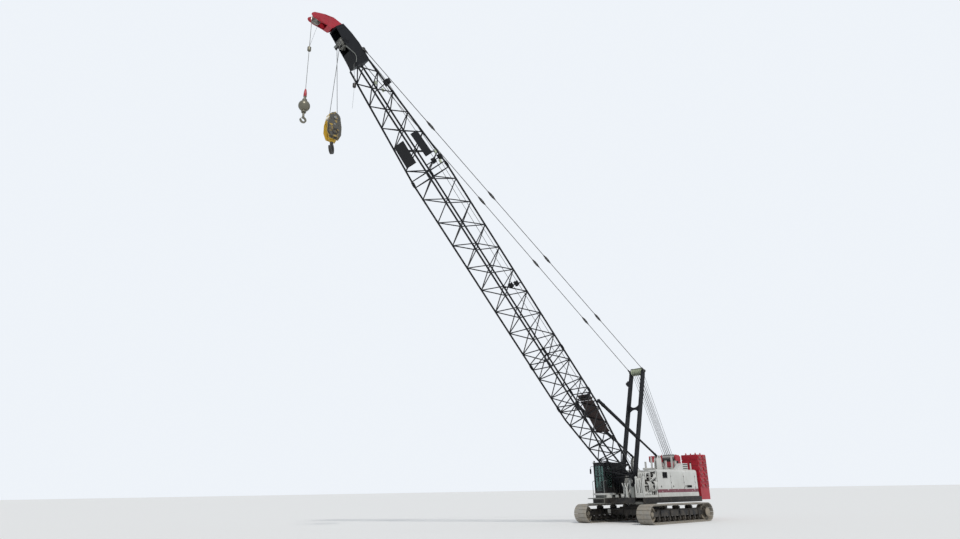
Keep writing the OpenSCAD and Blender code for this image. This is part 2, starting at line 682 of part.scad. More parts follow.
module mast_frame() color(black) on_mast() {
    for (s = sides) {
        y0 = s > 0 ? mast_lug[0] : -mast_lug[1];
        xz_plate(y0, y0 + mast_leg_w) difference() {
            union() {
                circle(r = foot_pin_r + 70, $fn = 48);
                polygon([[0, -foot_pin_r - 70], [500, -mast_leg_d / 2], [mast_l, -mast_leg_d / 2],
                    [mast_l, mast_leg_d / 2],
                    [500, mast_leg_d / 2], [0, foot_pin_r + 70]]);
                translate([mast_l, 0]) circle(r = mast_leg_d / 2, $fn = 48);
            }
            circle(r = foot_pin_r + fit, $fn = 48);
        }
        translate([mast_l, 0, 0]) y_rod(55, s > 0 ? 0 : y0 - 70, s > 0 ? y0 + mast_leg_w + 70 : 0);
    }
    translate([4740, 0, -30]) linear_extrude(60) difference() {
        square([960, 2 * mast_lug[0] + 2], center = true);
        for (e = sides) translate([e * 440, 0]) circle(r = 370, $fn = 48);
    }
    translate([700, 0, 0]) y_rod(60, -mast_lug[0] - 1, mast_lug[0] + 1);
}
module mast_sheaves() color(steel) on_mast() translate([mast_l, 0, 0]) difference() {
    union() {
        y_rod(120, -mast_lug[0] + 6, mast_lug[0] - 6);
        for (i = [-2 : 2]) translate([0, i * 145, 0]) sheave(200, 235, 90, 100);
    }
    y_rod(55 + fit, -500, 500);
}

module backstop_rods() color(black) for (s = sides) on_backstop(s) difference() {
    union() {
        y_rod(85, -60, 60);
        rotate([0, 90, 0]) cylinder(h = backstop_rod_l, r = backstop_rod_r, $fn = 48);
    }
    y_rod(backstop_pin_r + fit, -100, 100);
}
// The eye's pin stops short of the boom's chords
eye_w = 45;
eye_pin_in = backstop_y - half_w - chord_r - 12;
module backstop_tubes() color(black) for (s = sides) on_backstop(s) difference() {
    union() {
        translate([backstop_l - backstop_tube_l, 0, 0]) rotate([0, 90, 0])
            cylinder(h = backstop_tube_l - 80, r = backstop_r, $fn = 48);
        translate([backstop_l, 0, 0]) {
            y_rod(105, -eye_w, eye_w);
            y_rod(backstop_pin_r, s > 0 ? -eye_pin_in : 1 - eye_w, s > 0 ? eye_w - 1 : eye_pin_in);
        }
    }
    translate([backstop_l - backstop_tube_l - 1, 0, 0]) rotate([0, 90, 0])
        cylinder(h = backstop_tube_l - 180, r = backstop_rod_r + fit, $fn = 48);
}

// Cross sections of the boom: [half width, back chords' height, belly chords' depth]
lace_cut = 31;
full_section = [half_w, half_d, half_d];
foot_section = [half_w, 150, 90];
head_section = [head_half_w, head_back, head_belly];
function corner(c, t, side, back) = [t, side * c[0], back ? c[1] : -c[2]];
function mix(a, b, f) = a + (b - a) * f;
// Lacing of all four faces and the chords between two stations
module lattice(s0, s1, c0, c1, bays, lead, tail) {
    pitch = (s1 - s0 - lead - tail) / bays;
    for (side = sides) for (back = [true, false]) bar(corner(c0, s0, side, back), corner(c1, s1, side,
        back), chord_r, 8);
    for (k = [0 : 2 * bays - 1]) {
        t0 = s0 + lead + k * pitch / 2;
        t1 = t0 + pitch / 2;
        a = mix(c0, c1, (t0 - s0) / (s1 - s0));
        b = mix(c0, c1, (t1 - s0) / (s1 - s0));
        even = k % 2 == 0;
        // The belly-left and back-right chords carry the even nodes
        for (side = sides) {
            lace(corner(a, t0, side, even ? side < 0 : side > 0), corner(b, t1, side,
                even ? side > 0 : side < 0), even ? 7 : 19);
            back = side > 0;
            from = even ? (back ? -1 : 1) : (back ? 1 : -1);
            lace(corner(a, t0, from, back), corner(b, t1, -from, back), even ? 11 : 23);
        }
    }
}
// A square of battens and the four pinned lugs at a section's end
module section_end(t, c, dir) {
    for (side = sides) {
        lace(corner(c, t, side, true), corner(c, t, side, false), 13);
        for (back = [true, false]) translate(corner(c, t - dir * (end_gap - 60), side, back))
            span([-60, -38, -70], [60, 38, 70]);
    }
    for (back = [true, false]) lace(corner(c, t, 1, back), corner(c, t, -1, back), 5);
}
module boom_base() color(black) on_boom() {
    lattice(taper_end, joint_c, full_section, full_section, 0.5, 1, end_gap);
    lattice(420, taper_end, foot_section, full_section, 5, 380, 1);
    section_end(joint_c - end_gap, full_section, -1);
    for (side = sides) {
        lace(corner(full_section, taper_end, side, true), corner(full_section, taper_end, side, false), 13);
        y0 = side > 0 ? boom_lug[0] : -boom_lug[1];
        xz_plate(y0, y0 + foot_lug_w) difference() {
            union() {
                circle(r = foot_pin_r + 65, $fn = 48);
                polygon([[0, -foot_pin_r - 65], [700, -130], [700, 190], [0, foot_pin_r + 65]]);
            }
            circle(r = foot_pin_r + fit, $fn = 48);
        }
    }
    for (z = [-60, 130]) bar([640, half_w, z], [640, -half_w, z], 45, 8);
}
module boom_insert_short() color(black) on_boom() {
    lattice(joint_c, joint_b, full_section, full_section, 2, end_gap, end_gap);
    section_end(joint_c + end_gap, full_section, 1);
    section_end(joint_b - end_gap, full_section, -1);
}
module boom_insert_long() color(black) on_boom() {
    lattice(joint_b, joint_a, full_section, full_section, 8, end_gap, end_gap);
    section_end(joint_b + end_gap, full_section, 1);
    section_end(joint_a - end_gap, full_section, -1);
}
module boom_top() color(black) on_boom() {
    difference() {
        lattice(joint_a + 4, head_s, full_section, head_section, 5, end_gap, 60);
        span([head_s, -half_w, -half_d], [head_s + chord_r, half_w, half_d]);
    }
    section_end(joint_a + end_gap, mix(full_section, head_section, end_gap / top_l), 1);
}
plate_in_y = head_half_w - 30;
// Edges of the head's side plates, along the belly and back along the boom's back
head_low = [[head_s, -head_belly], [head_s + 320, -465], [head_s + 800, -425]];
head_high = [[head_end, 240], [head_s + 1560, 400], [head_s + 1090, 460], [head_s + 400, 480],
    [head_s, 420]];
// A strip of plate along an edge, thick towards d
module strip(edge, d) polygon(concat(edge, [for (i = [len(edge) - 1 : -1 : 0]) edge[i] + [0, d]]));
module boom_head() color(black) on_boom() {
    for (side = sides) xz_plate(side > 0 ? plate_in_y : -plate_in_y - 30,
        side > 0 ? plate_in_y + 30 : -plate_in_y) polygon(concat(head_low, [[head_end, -310]], head_high));
    xz_plate(-plate_in_y - 1, plate_in_y + 1) strip(head_high, -30);
    xz_plate(-plate_in_y - 1, plate_in_y + 1) strip(head_low, 24);
    span([head_end - 60, -plate_in_y - 1, -300], [head_end, plate_in_y + 1, head_high[0][1] - 29]);
    span([head_s, -head_half_w, -head_belly], [head_s + 30, head_half_w, head_back]);
    translate([head_sheave[0], 0, head_sheave[1]]) y_rod(70, -head_half_w - 20, head_half_w + 20);
    for (side = sides) translate([pendant_foot[0], 0, 0]) {
        y0 = side > 0 ? head_half_w - 40 : -head_half_w;
        span([-110, y0, head_back - 1], [110, y0 + 40, pendant_foot[1] + 60]);
    }
}
module head_sheaves() color(steel) on_boom() translate([head_sheave[0], 0, head_sheave[1]]) difference() {
    union() {
        y_rod(110, -plate_in_y + 6, plate_in_y - 6);
        for (i = [-1.5 : 1 : 1.5]) translate([0, i * 130, 0]) sheave(sheave_r, sheave_r + 45, 84, 100);
    }
    y_rod(70 + fit, -500, 500);
}
module on_tip() translate([tip_root[0], 0, tip_root[1]]) rotate([0, -tip_angle, 0]) children();
// Edges of the tip's side plates, from the head outward
tip_y = 234;
tip_high = [[head_end - 60, 290], [head_end + 450, 0], [head_end + 740, -380], [head_end + 1000, -900],
    [head_end + 1010, -1060]];
tip_low = [[head_end - 60, -460], [head_end + 200, -660], [head_end + 560, -990], [head_end + 840, -1170],
    [head_end + 960, -1150]];
module tip_extension() color(red) on_boom() difference() {
    union() {
        for (s = sides) xz_plate(s > 0 ? tip_y - 24 : -tip_y, s > 0 ? tip_y : 24 - tip_y)
            polygon(concat(tip_high, [for (i = [4 : -1 : 0]) tip_low[i]]));
        xz_plate(1 - tip_y, tip_y - 1) strip([tip_high[0], tip_high[1], tip_high[2]], -24);
        xz_plate(1 - tip_y, tip_y - 1) strip([tip_low[0], tip_low[1]], 24);
        on_tip() translate([tip_l, 0, 0]) y_rod(50, -260, 260);
    }
    span([0, -1000, -2000], [head_end, 1000, 2000]);
}
module tip_sheave() color(steel) on_boom() on_tip() translate([tip_l, 0, 0]) difference() {
    union() {
        sheave(tip_sheave_r, tip_sheave_r + 40, 90, 60);
        y_rod(90, -204, 204);
    }
    y_rod(50 + fit, -300, 300);
}
// Each pendant runs from the mast's top shaft to the lug on the boom's head
module pendants() color(black) for (s = sides) {
    low = boom_point(pendant_foot[0], pendant_foot[1]);
    a = [mast_top[0], s * (pendant_y + 25), mast_top[1]];
    b = [low[0], s * (head_half_w + 25), low[1]];
    dir = (b - a) / norm(b - a);
    bar(a + dir * 150, b - dir * 90, pendant_r, 8);
    for (f = [0.2, 0.4, 0.6, 0.8]) bar(mix(a, b, f) - dir * 220, mix(a, b, f) + dir * 220,
        pendant_r * 2, 8);
    y0 = s > 0 ? pendant_y : -pendant_y - 50;
    difference() {
        union() {
            at_xz(mast_top) y_rod(100, y0, y0 + 50);
            bar(a + dir * 60, a + dir * 200, 25, 8);
        }
        at_xz(mast_top) y_rod(55 + fit, -1000, 1000);
    }
    at_xz(low) y_rod(90, s > 0 ? head_half_w : -head_half_w - 50, s > 0 ? head_half_w + 50 : -head_half_w);
    bar(b - dir * 120, b - dir * 60, 25, 8);
}
// The walkway lies on the back lacing, in a sloping and a level panel
walkway_t = 30;
walkway_w = 900;
module boom_walkway() color(dust) on_boom() {
    slope = atan2(half_d - foot_section[1], taper_end - 420);
    translate([420, 0, foot_section[1]]) rotate([0, -slope, 0])
        span([3150, -walkway_w / 2, lace_r * 0.9625], [5280, walkway_w / 2, lace_r + walkway_t]);
    span([taper_end + 30, -walkway_w / 2, half_d + lace_r + fit],
        [taper_end + 420, walkway_w / 2, half_d + lace_r + walkway_t]);
}
// Blank panels on the top section's left face and belly
sign_t = 12;
module boom_signs() color(black) on_boom() {
    side_slope = atan2(half_w - head_half_w, top_l);
    belly_slope = atan2(half_d - head_belly, top_l);
    translate([joint_a, half_w + lace_r + fit, 0]) rotate([0, 0, -side_slope])
        span([900, 0, -225], [2300, sign_t, 335]);
    translate([joint_a, 0, -half_d - lace_r - fit]) rotate([0, -belly_slope, 0])
        span([900, -420, -sign_t], [2200, 420, 0]);
}

// The block hangs from the head sheaves
fall_r = sheave_r + rope_r + fit;
block_at = [head_at[0] + fall_r, head_at[1] - block_drop];
outer_sheave_y = 195;
module main_falls() color(steel) for (s = sides) {
    bar([block_at[0] + s * fall_r, s * outer_sheave_y / 2, block_at[1]],
        [block_at[0], s * outer_sheave_y, head_at[1]], rope_r, 8);
}
cheek_t = 38;
block_pitch = 100;
block_low = 1150;
module at_block() at_xz(block_at) children();
module block_sheaves() color(steel) at_block() {
    for (i = [-1 : 1]) translate([0, i * block_pitch, 0]) sheave(sheave_r, sheave_r + 45, 84, 58);
    y_rod(62, -1.5 * block_pitch, 1.5 * block_pitch);
}
module block_body() color(yellow) at_block() {
    half = 1.5 * block_pitch;
    for (s = sides) {
        xz_plate(s > 0 ? half : -half - cheek_t, s > 0 ? half + cheek_t : -half) {
            circle(r = 290, $fn = 64);
            polygon([[-290, 0], [290, 0], [370, -400], [370, -850], [230, -block_low - 20],
                [-230, -block_low - 20], [-370, -850], [-370, -400]]);
        }
        translate([0, 0, -680]) xz_plate(s > 0 ? half + cheek_t - 1 : -half - 3 * cheek_t,
            s > 0 ? half + 3 * cheek_t : 1 - half - cheek_t)
            polygon([[-310, 230], [310, 230], [310, -180], [190, -390], [-190, -390], [-310, -180]]);
        y_rod(60, s > 0 ? half : -half - cheek_t - 30, s > 0 ? half + cheek_t + 30 : -half);
    }
    span([-170, -half - 1, -block_low], [170, half + 1, 200 - block_low]);
}
// Points of a hook's bowl, as arcs about the bowl's centre
module hook_outline(r, w) {
    difference() {
        circle(r = r + w, $fn = 64);
        circle(r = r, $fn = 64);
        polygon([[0, 0], [0, 3 * r], [3 * r, 3 * r], [3 * r, 0.35 * r]]);
    }
    translate([-w * 0.55, r * 0.9]) square([w * 1.1, r * 1.2]);
}
hook_drop = 1600;
hook_turn = 45;
module main_hook() color(black) at_block() translate([0, 0, -hook_drop]) {
    rotate([0, 0, hook_turn]) xz_plate(-60, 60) hook_outline(150, 120);
    translate([0, 0, 250]) cylinder(h = hook_drop - block_low - 250, r = 75, $fn = 48);
}
ball_at = [tip_at[0] + tip_sheave_r + rope_r + fit, tip_at[1] - ball_drop];
swivel_h = 620;
ball_hook_drop = 760;
module ball_line() color(steel) translate([ball_at[0], 0, ball_at[1] + swivel_h])
    cylinder(h = ball_drop - swivel_h, r = rope_r, $fn = 8);
module hook_ball() color(black) translate([ball_at[0], 0, ball_at[1]]) {
    sphere(r = ball_r, $fn = 64);
    cylinder(h = swivel_h, r = 60, $fn = 48);
    translate([0, 0, -600]) cylinder(h = 380, r = 50, $fn = 48);
    translate([0, 0, -ball_hook_drop]) xz_plate(-40, 40) hook_outline(90, 70);
}

carbody();
crawler_frames();
track_left();
track_right();
track_rollers();
idler_wheels();
drive_wheels();
swing_ring();
deck();
deck_rails();
boom_brackets();
house_left();
house_right();
house_grilles();
engine();
pump_rack();
valve_blocks();
oil_tank();
drum_frame();
gantry();
backstop_brackets();
bail_sheaves();
counterweight_tray();
counterweight_towers();
cab_platform();
cab_base();
cab_shell();
cab_glass();
cab_seat();
cab_door();
cab_door_glass();
front_drum();
rear_drum();
boom_hoist_drum();
mast_frame();
mast_sheaves();
backstop_rods();
backstop_tubes();
boom_base();
boom_insert_short();
boom_insert_long();
boom_top();
boom_head();
tip_extension();
pendants();
boom_walkway();
boom_signs();
head_sheaves();
tip_sheave();
main_falls();
block_body();
block_sheaves();
main_hook();
ball_line();
hook_ball();
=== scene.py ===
"""Looks of a lattice boom crawler crane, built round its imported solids."""

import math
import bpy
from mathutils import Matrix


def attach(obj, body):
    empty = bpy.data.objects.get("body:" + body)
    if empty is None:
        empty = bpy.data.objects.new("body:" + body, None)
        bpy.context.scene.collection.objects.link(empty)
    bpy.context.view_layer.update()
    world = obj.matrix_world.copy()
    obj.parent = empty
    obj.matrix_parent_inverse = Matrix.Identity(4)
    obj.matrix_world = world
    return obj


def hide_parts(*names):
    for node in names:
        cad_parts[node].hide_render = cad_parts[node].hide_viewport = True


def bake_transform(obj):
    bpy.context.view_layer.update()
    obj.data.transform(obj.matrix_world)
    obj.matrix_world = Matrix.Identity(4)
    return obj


bl_info = {
    "name": "Lattice Boom Crawler Crane",
    "version": (1, 0, 0),
    "blender": (4, 5, 0),
    "location": "3D View > Sidebar > Crane",
    "description": "Builds the finishes, ropes and fittings of a lattice boom crawler crane",
    "category": "Object",
}

import bmesh
import bpy
from mathutils import Matrix, Vector

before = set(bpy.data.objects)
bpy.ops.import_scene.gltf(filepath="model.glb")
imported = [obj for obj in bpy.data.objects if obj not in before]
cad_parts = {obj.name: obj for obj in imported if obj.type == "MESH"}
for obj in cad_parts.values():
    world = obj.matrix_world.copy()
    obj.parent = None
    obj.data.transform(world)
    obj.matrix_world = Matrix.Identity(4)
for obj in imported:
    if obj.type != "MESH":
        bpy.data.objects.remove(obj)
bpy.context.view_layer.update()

FOOT = Vector((1.3, 0, 2.104))
BOOM_ANGLE = math.radians(46.77)
MAST_ANGLE = math.radians(106.1)
MAST_LENGTH = 7.25
BOOM = Matrix.Translation(FOOT) @ Matrix.Rotation(-BOOM_ANGLE, 4, "Y")
MAST = Matrix.Translation(FOOT) @ Matrix.Rotation(-MAST_ANGLE, 4, "Y")
MAST_TOP = MAST @ Vector((MAST_LENGTH, 0, 0))
BAIL = Vector((-3.25, 0, 3.72))
STAND, STAND_Y = Vector((-0.73, 0, 3.71)), 0.87
BLOCK = Vector((21.96205, 0, 18.95442))
BALL = Vector((23.48267, 0, 19.06586))
SIDES = (1, -1)

CRAWLER_Y = 2.2575
WHEEL_X, WHEEL_Z = 2.7, 0.525
DECK_TOP = 1.398
SIDE_Y = 1.5
HOUSE_TOP = 2.958
HOUSE_REAR, HOUSE_FRONT = -3.82, 0.45
TOWER_LOW, TOWER_TOP = 1.85, 3.9
WINCHES_X, WINCH_Z = (0.25, -0.9), 1.9
HOIST_DRUM_X, HOIST_DRUM_Z = -2.68, 3.70
BOOM_JOINTS = (6.45, 9.50, 21.69)
CHORD_Y, CHORD_OFF = 0.685, 0.8
GUIDE_S, GUIDE_Y = 5.9, 0.22
LOW_ROLLER_S, TOP_ROLLER_S, NECK_ROLLER_S = 14.0, 22.2, 26.9
HEAD_PIN_S, HEAD_PIN_OFF, HEAD_Y = 29.6, -0.17, 0.333
HEAD_WEIGHT = Vector((21.05, 0.2, 21.19))
TIP_WEIGHT = Vector((BALL.x, 0, 22.28))
STRIPE_LOW, STRIPE_HIGH = 1.64, 1.83
CAMERA_PLACE = Vector((33.998, 24.525, 1.919))
CAMERA_TURNS = (-130.92, 19.26, -0.92)
CAMERA_LENS = 23.72


# Sizes and colours a user would change


class CraneSizes(bpy.types.PropertyGroup):
    """Sizes of the pieces that are added to the solids"""

    rope_radius: bpy.props.FloatProperty(
        name="Rope radius", description="Radius of the hoist ropes", default=0.014, unit="LENGTH"
    )
    shoe_bevel: bpy.props.FloatProperty(
        name="Shoe bevel", description="Rounding of the track shoes' edges", default=0.012,
        unit="LENGTH"
    )
    hose_radius: bpy.props.FloatProperty(
        name="Hose radius", description="Radius of the hydraulic hoses", default=0.024,
        unit="LENGTH"
    )
    bolt_radius: bpy.props.FloatProperty(
        name="Bolt radius", description="Radius across a bolt head's corners", default=0.03,
        unit="LENGTH"
    )


def colour(name, text, value):
    """A colour property with its default."""
    return bpy.props.FloatVectorProperty(
        name=name, description=text, subtype="COLOR", size=4, min=0, max=1, default=(*value, 1)
    )


class CraneColours(bpy.types.PropertyGroup):
    """Colours of the crane's finishes"""

    black_paint: colour("Black paint", "Boom, mast and lower works", (0.011, 0.012, 0.015))
    white_paint: colour("White paint", "Houses, gantry and pump rack", (0.60, 0.61, 0.59))
    red_paint: colour("Red paint", "Counterweights and boom tip", (0.42, 0.012, 0.028))
    yellow_paint: colour("Yellow paint", "Hook block cheeks", (0.66, 0.42, 0.035))
    stripe: colour("Stripe", "Band along the houses", (0.16, 0.03, 0.05))
    dust: colour("Dust", "Dry soil on the machine", (0.33, 0.28, 0.215))
    grime: colour("Grime", "Rain streaks and grease", (0.11, 0.10, 0.085))
    track_steel: colour("Track steel", "Shoes under dust", (0.34, 0.325, 0.295))
    dark_steel: colour("Dark steel", "Rollers, hooks and pumps", (0.045, 0.042, 0.04))
    bare_steel: colour("Bare steel", "Sheaves and drums", (0.36, 0.36, 0.34))
    rope_steel: colour("Rope", "Greased wire rope", (0.10, 0.105, 0.11))
    platform_grey: colour("Platform grey", "Step, platform and tank", (0.20, 0.215, 0.205))
    # The walkway's dark brown is partly painted shade: the colour is darkened for the shade the
    # walkway lies in.
    grating: colour("Grating", "Boom walkway", (0.045, 0.026, 0.024))
    glass: colour("Glass", "Cab windows", (0.24, 0.36, 0.33))
    cloth: colour("Seat cloth", "Operator's seat", (0.03, 0.03, 0.034))
    rubber: colour("Rubber", "Hoses and seals", (0.02, 0.02, 0.02))
    pale_green: colour("Pale green", "Mast sheaves and rope guides", (0.42, 0.47, 0.35))
    lens: colour("Lens", "Lamp lenses", (0.75, 0.75, 0.72))
    floor: colour("Floor", "Ground and backdrop", (0.80, 0.80, 0.79))


# Meshes


def box(bm, low, high, bevel=0.0, place=None):
    """Adds a box given by two opposite corners, its edges rounded by bevel."""
    pairs = list(zip(Vector(low), Vector(high)))
    low, high = Vector([min(pair) for pair in pairs]), Vector([max(pair) for pair in pairs])
    verts = bmesh.ops.create_cube(bm, size=1)["verts"]
    bmesh.ops.scale(bm, vec=high - low, verts=verts)
    bmesh.ops.translate(bm, vec=(low + high) / 2, verts=verts)
    if place:
        bmesh.ops.transform(bm, matrix=place, verts=verts)
    if bevel:
        edges = list({e for v in verts for e in v.link_edges})
        bmesh.ops.bevel(
            bm, geom=edges, offset=bevel, segments=1, profile=0.5, affect="EDGES", material=-1
        )


def rod(bm, start, end, radius, sides=12, end_radius=None):
    """Adds a round bar between two points."""
    start, end = Vector(start), Vector(end)
    turn = (end - start).to_track_quat("Z", "X").to_matrix().to_4x4()
    bmesh.ops.create_cone(
        bm,
        cap_ends=True,
        segments=sides,
        radius1=radius,
        radius2=radius if end_radius is None else end_radius,
        depth=(end - start).length,
        matrix=Matrix.Translation((start + end) / 2) @ turn,
    )


def stamp(bm, part, place):
    """Adds a copy of a part at a place."""
    placed = part.copy()
    placed.transform(place)
    bm.from_mesh(placed)
    bpy.data.meshes.remove(placed)


def lathe(profile, steps=48, closed=False):
    """A mesh turned about Z from (radius, height) points."""
    bm = bmesh.new()
    verts = [bm.verts.new((r, 0, h)) for r, h in profile]
    edges = [bm.edges.new(pair) for pair in zip(verts, verts[1:])]
    if closed:
        edges.append(bm.edges.new((verts[-1], verts[0])))
    bmesh.ops.spin(
        bm, geom=verts + edges, axis=(0, 0, 1), angle=math.tau, steps=steps, use_merge=True
    )
    return sealed(bm)


def plate(points, thickness):
    """A mesh of a flat outline in XZ, thick along +Y."""
    bm = bmesh.new()
    face = bm.faces.new([bm.verts.new((x, 0, z)) for x, z in points])
    made = bmesh.ops.extrude_face_region(bm, geom=[face])["geom"]
    tops = [v for v in made if isinstance(v, bmesh.types.BMVert)]
    bmesh.ops.translate(bm, vec=(0, thickness, 0), verts=tops)
    return sealed(bm)


def sealed(bm):
    """The mesh of a bmesh with its doubles merged and its faces outwards."""
    bmesh.ops.remove_doubles(bm, verts=bm.verts, dist=0.00005)
    bmesh.ops.recalc_face_normals(bm, faces=bm.faces)
    mesh = bpy.data.meshes.new("part")
    bm.to_mesh(mesh)
    bm.free()
    return mesh


def bolt_mesh(radius, height):
    """A hexagon bolt head on a washer, standing on Z."""
    bm = bmesh.new()
    rod(bm, (0, 0, -0.002), (0, 0, height * 0.25), radius * 1.25, 10)
    rod(bm, (0, 0, height * 0.2), (0, 0, height), radius, 6, radius * 0.94)
    return sealed(bm)


def along(start, end, up="X"):
    """The matrix that takes +Z to the way from start to end, at start."""
    start, end = Vector(start), Vector(end)
    return Matrix.Translation(start) @ (end - start).to_track_quat("Z", up).to_matrix().to_4x4()


def outward(side):
    """The turn that points +Z out to the left, or to the right for a side of -1."""
    return Matrix.Rotation(math.radians(-90 * side), 4, "X")


def lying(x, y, z, side):
    """The matrix that stands a part on a wall at a point, pointing outwards."""
    return Matrix.Translation((x, y, z)) @ outward(side)


def new_object(name, bm):
    """Puts an object made of a bmesh in the scene."""
    mesh = bpy.data.meshes.new(name)
    bm.to_mesh(mesh)
    bm.free()
    obj = bpy.data.objects.new(name, mesh)
    bpy.context.scene.collection.objects.link(obj)
    return obj


def finish(name, bm, material, body, angle=32, replaces=()):
    """Makes the piece's object, rides it on its body when one body is named and else leaves it
    fixed in place, and gives it its finish.
    """
    obj = new_object(name, bm)
    mesh = obj.data
    mesh.materials.append(bpy.data.materials[material])
    mesh.polygons.foreach_set("use_smooth", [True] * len(mesh.polygons))
    mesh.set_sharp_from_angle(angle=math.radians(angle))
    if isinstance(body, str):
        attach(obj, body)
    else:
        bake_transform(obj)
    if replaces:
        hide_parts(*replaces)


def rope(bm, points, radius, sides=8):
    """Adds a rope as a tube through the points, with a ring of vertices at each."""
    points = [Vector(p) for p in points]
    rings = []
    for i, point in enumerate(points):
        way = points[min(i + 1, len(points) - 1)] - points[max(i - 1, 0)]
        place = Matrix.Translation(point) @ way.to_track_quat("Z", "Y").to_matrix().to_4x4()
        made = bmesh.ops.create_circle(
            bm, cap_ends=i in (0, len(points) - 1), segments=sides, radius=radius, matrix=place
        )["verts"]
        rings.append(list({e for v in made for e in v.link_edges}))
    for low, high in zip(rings, rings[1:]):
        bmesh.ops.bridge_loops(bm, edges=low + high)


def spread(start, end, count):
    """Evenly spaced points from start to end."""
    start, end = Vector(start), Vector(end)
    return [start.lerp(end, i / (count - 1)) for i in range(count)]


def bolted(bm, points, way, radius=None):
    """Adds a bolt head at each point, standing out along a way."""
    radius = radius or bpy.context.scene.crane_sizes.bolt_radius
    head = bolt_mesh(radius, radius * 0.9)
    for point in points:
        stamp(bm, head, along(point, Vector(point) + Vector(way)))


def round_points(centre, radius, count, axis="Y"):
    """Points round a centre, in the plane square to an axis."""
    points = []
    for i in range(count):
        angle = math.tau * i / count
        first, second = radius * math.cos(angle), radius * math.sin(angle)
        shift = (first, 0, second) if axis == "Y" else (first, second, 0)
        points.append(Vector(centre) + Vector(shift))
    return points


def hose(bm, start, start_way, end, end_way, radius):
    """Adds a hose that leaves both its ends along the given ways."""
    pull, steps = 1.3, 12
    start, end = Vector(start), Vector(end)
    first, second = start + Vector(start_way) * pull, end + Vector(end_way) * pull
    points = []
    for i in range(steps + 1):
        f = i / steps
        points.append(
            start * (1 - f) ** 3 + first * 3 * f * (1 - f) ** 2
            + second * 3 * f**2 * (1 - f) + end * f**3
        )
    rope(bm, points, radius)


def outline(bm, axis, at, low, high, width):
    """Adds a flat frame round an opening in a wall square to X or Y."""
    thick = 0.008
    (a0, b0), (a1, b1) = low, high
    for (a, b), (c, d) in (
        ((a0 - width, b0 - width), (a1 + width, b0)),
        ((a0 - width, b1), (a1 + width, b1 + width)),
        ((a0 - width, b0), (a0, b1)),
        ((a1, b0), (a1 + width, b1)),
    ):
        if axis == "X":
            box(bm, (at, a, b), (at + thick, c, d))
        else:
            box(bm, (a, at - thick / 2, b), (c, at + thick / 2, d))


def apply_modifiers(obj):
    """Bakes an object's modifiers into its mesh."""
    bpy.context.view_layer.update()
    shaped = obj.evaluated_get(bpy.context.evaluated_depsgraph_get())
    mesh = bpy.data.meshes.new_from_object(shaped)
    obj.modifiers.clear()
    obj.data = mesh


# Finishes


def node(tree, kind, sockets=None, **settings):
    """Adds a shader node, sets its settings, and fills or links its inputs."""
    made = tree.nodes.new(kind)
    for key, value in settings.items():
        setattr(made, key, value)
    for key, value in (sockets or {}).items():
        if isinstance(value, bpy.types.NodeSocket):
            tree.links.new(value, made.inputs[key])
        else:
            made.inputs[key].default_value = value
    return made


def mixed(tree, factor, first, second, blend="MIX"):
    """A colour mix of two inputs."""
    made = node(
        tree, "ShaderNodeMix", {"Factor": factor}, data_type="RGBA", blend_type=blend,
        clamp_factor=True
    )
    for key, value in ((6, first), (7, second)):
        if isinstance(value, bpy.types.NodeSocket):
            tree.links.new(value, made.inputs[key])
        else:
            made.inputs[key].default_value = value
    return made.outputs[2]


def maths(tree, operation, first, second=0.0, clamp=False):
    """A sum of one or two values."""
    made = node(tree, "ShaderNodeMath", {0: first, 1: second}, operation=operation, use_clamp=clamp)
    return made.outputs[0]


def ramped(tree, value, low, high):
    """A value spread from 0 at low to 1 at high."""
    made = node(
        tree, "ShaderNodeMapRange", {"Value": value, "From Min": low, "From Max": high}, clamp=True
    )
    return made.outputs["Result"]


def coordinate(tree, place, axis):
    """One coordinate of a place."""
    return node(tree, "ShaderNodeSeparateXYZ", {0: place}).outputs[axis]


def noise(tree, place, scale, detail, rough=0.55):
    """Noise on a place."""
    return node(
        tree, "ShaderNodeTexNoise",
        {"Vector": place, "Scale": scale, "Detail": detail, "Roughness": rough},
    ).outputs["Fac"]


def new_group(name, inputs, outputs):
    """An empty node group with the named sockets."""
    group = bpy.data.node_groups.new(name, "ShaderNodeTree")
    for label, kind, default in inputs:
        made = group.interface.new_socket(name=label, in_out="INPUT", socket_type=kind)
        if default is not None:
            made.default_value = default
    for label, kind in outputs:
        group.interface.new_socket(name=label, in_out="OUTPUT", socket_type=kind)
    return group, node(group, "NodeGroupInput"), node(group, "NodeGroupOutput")


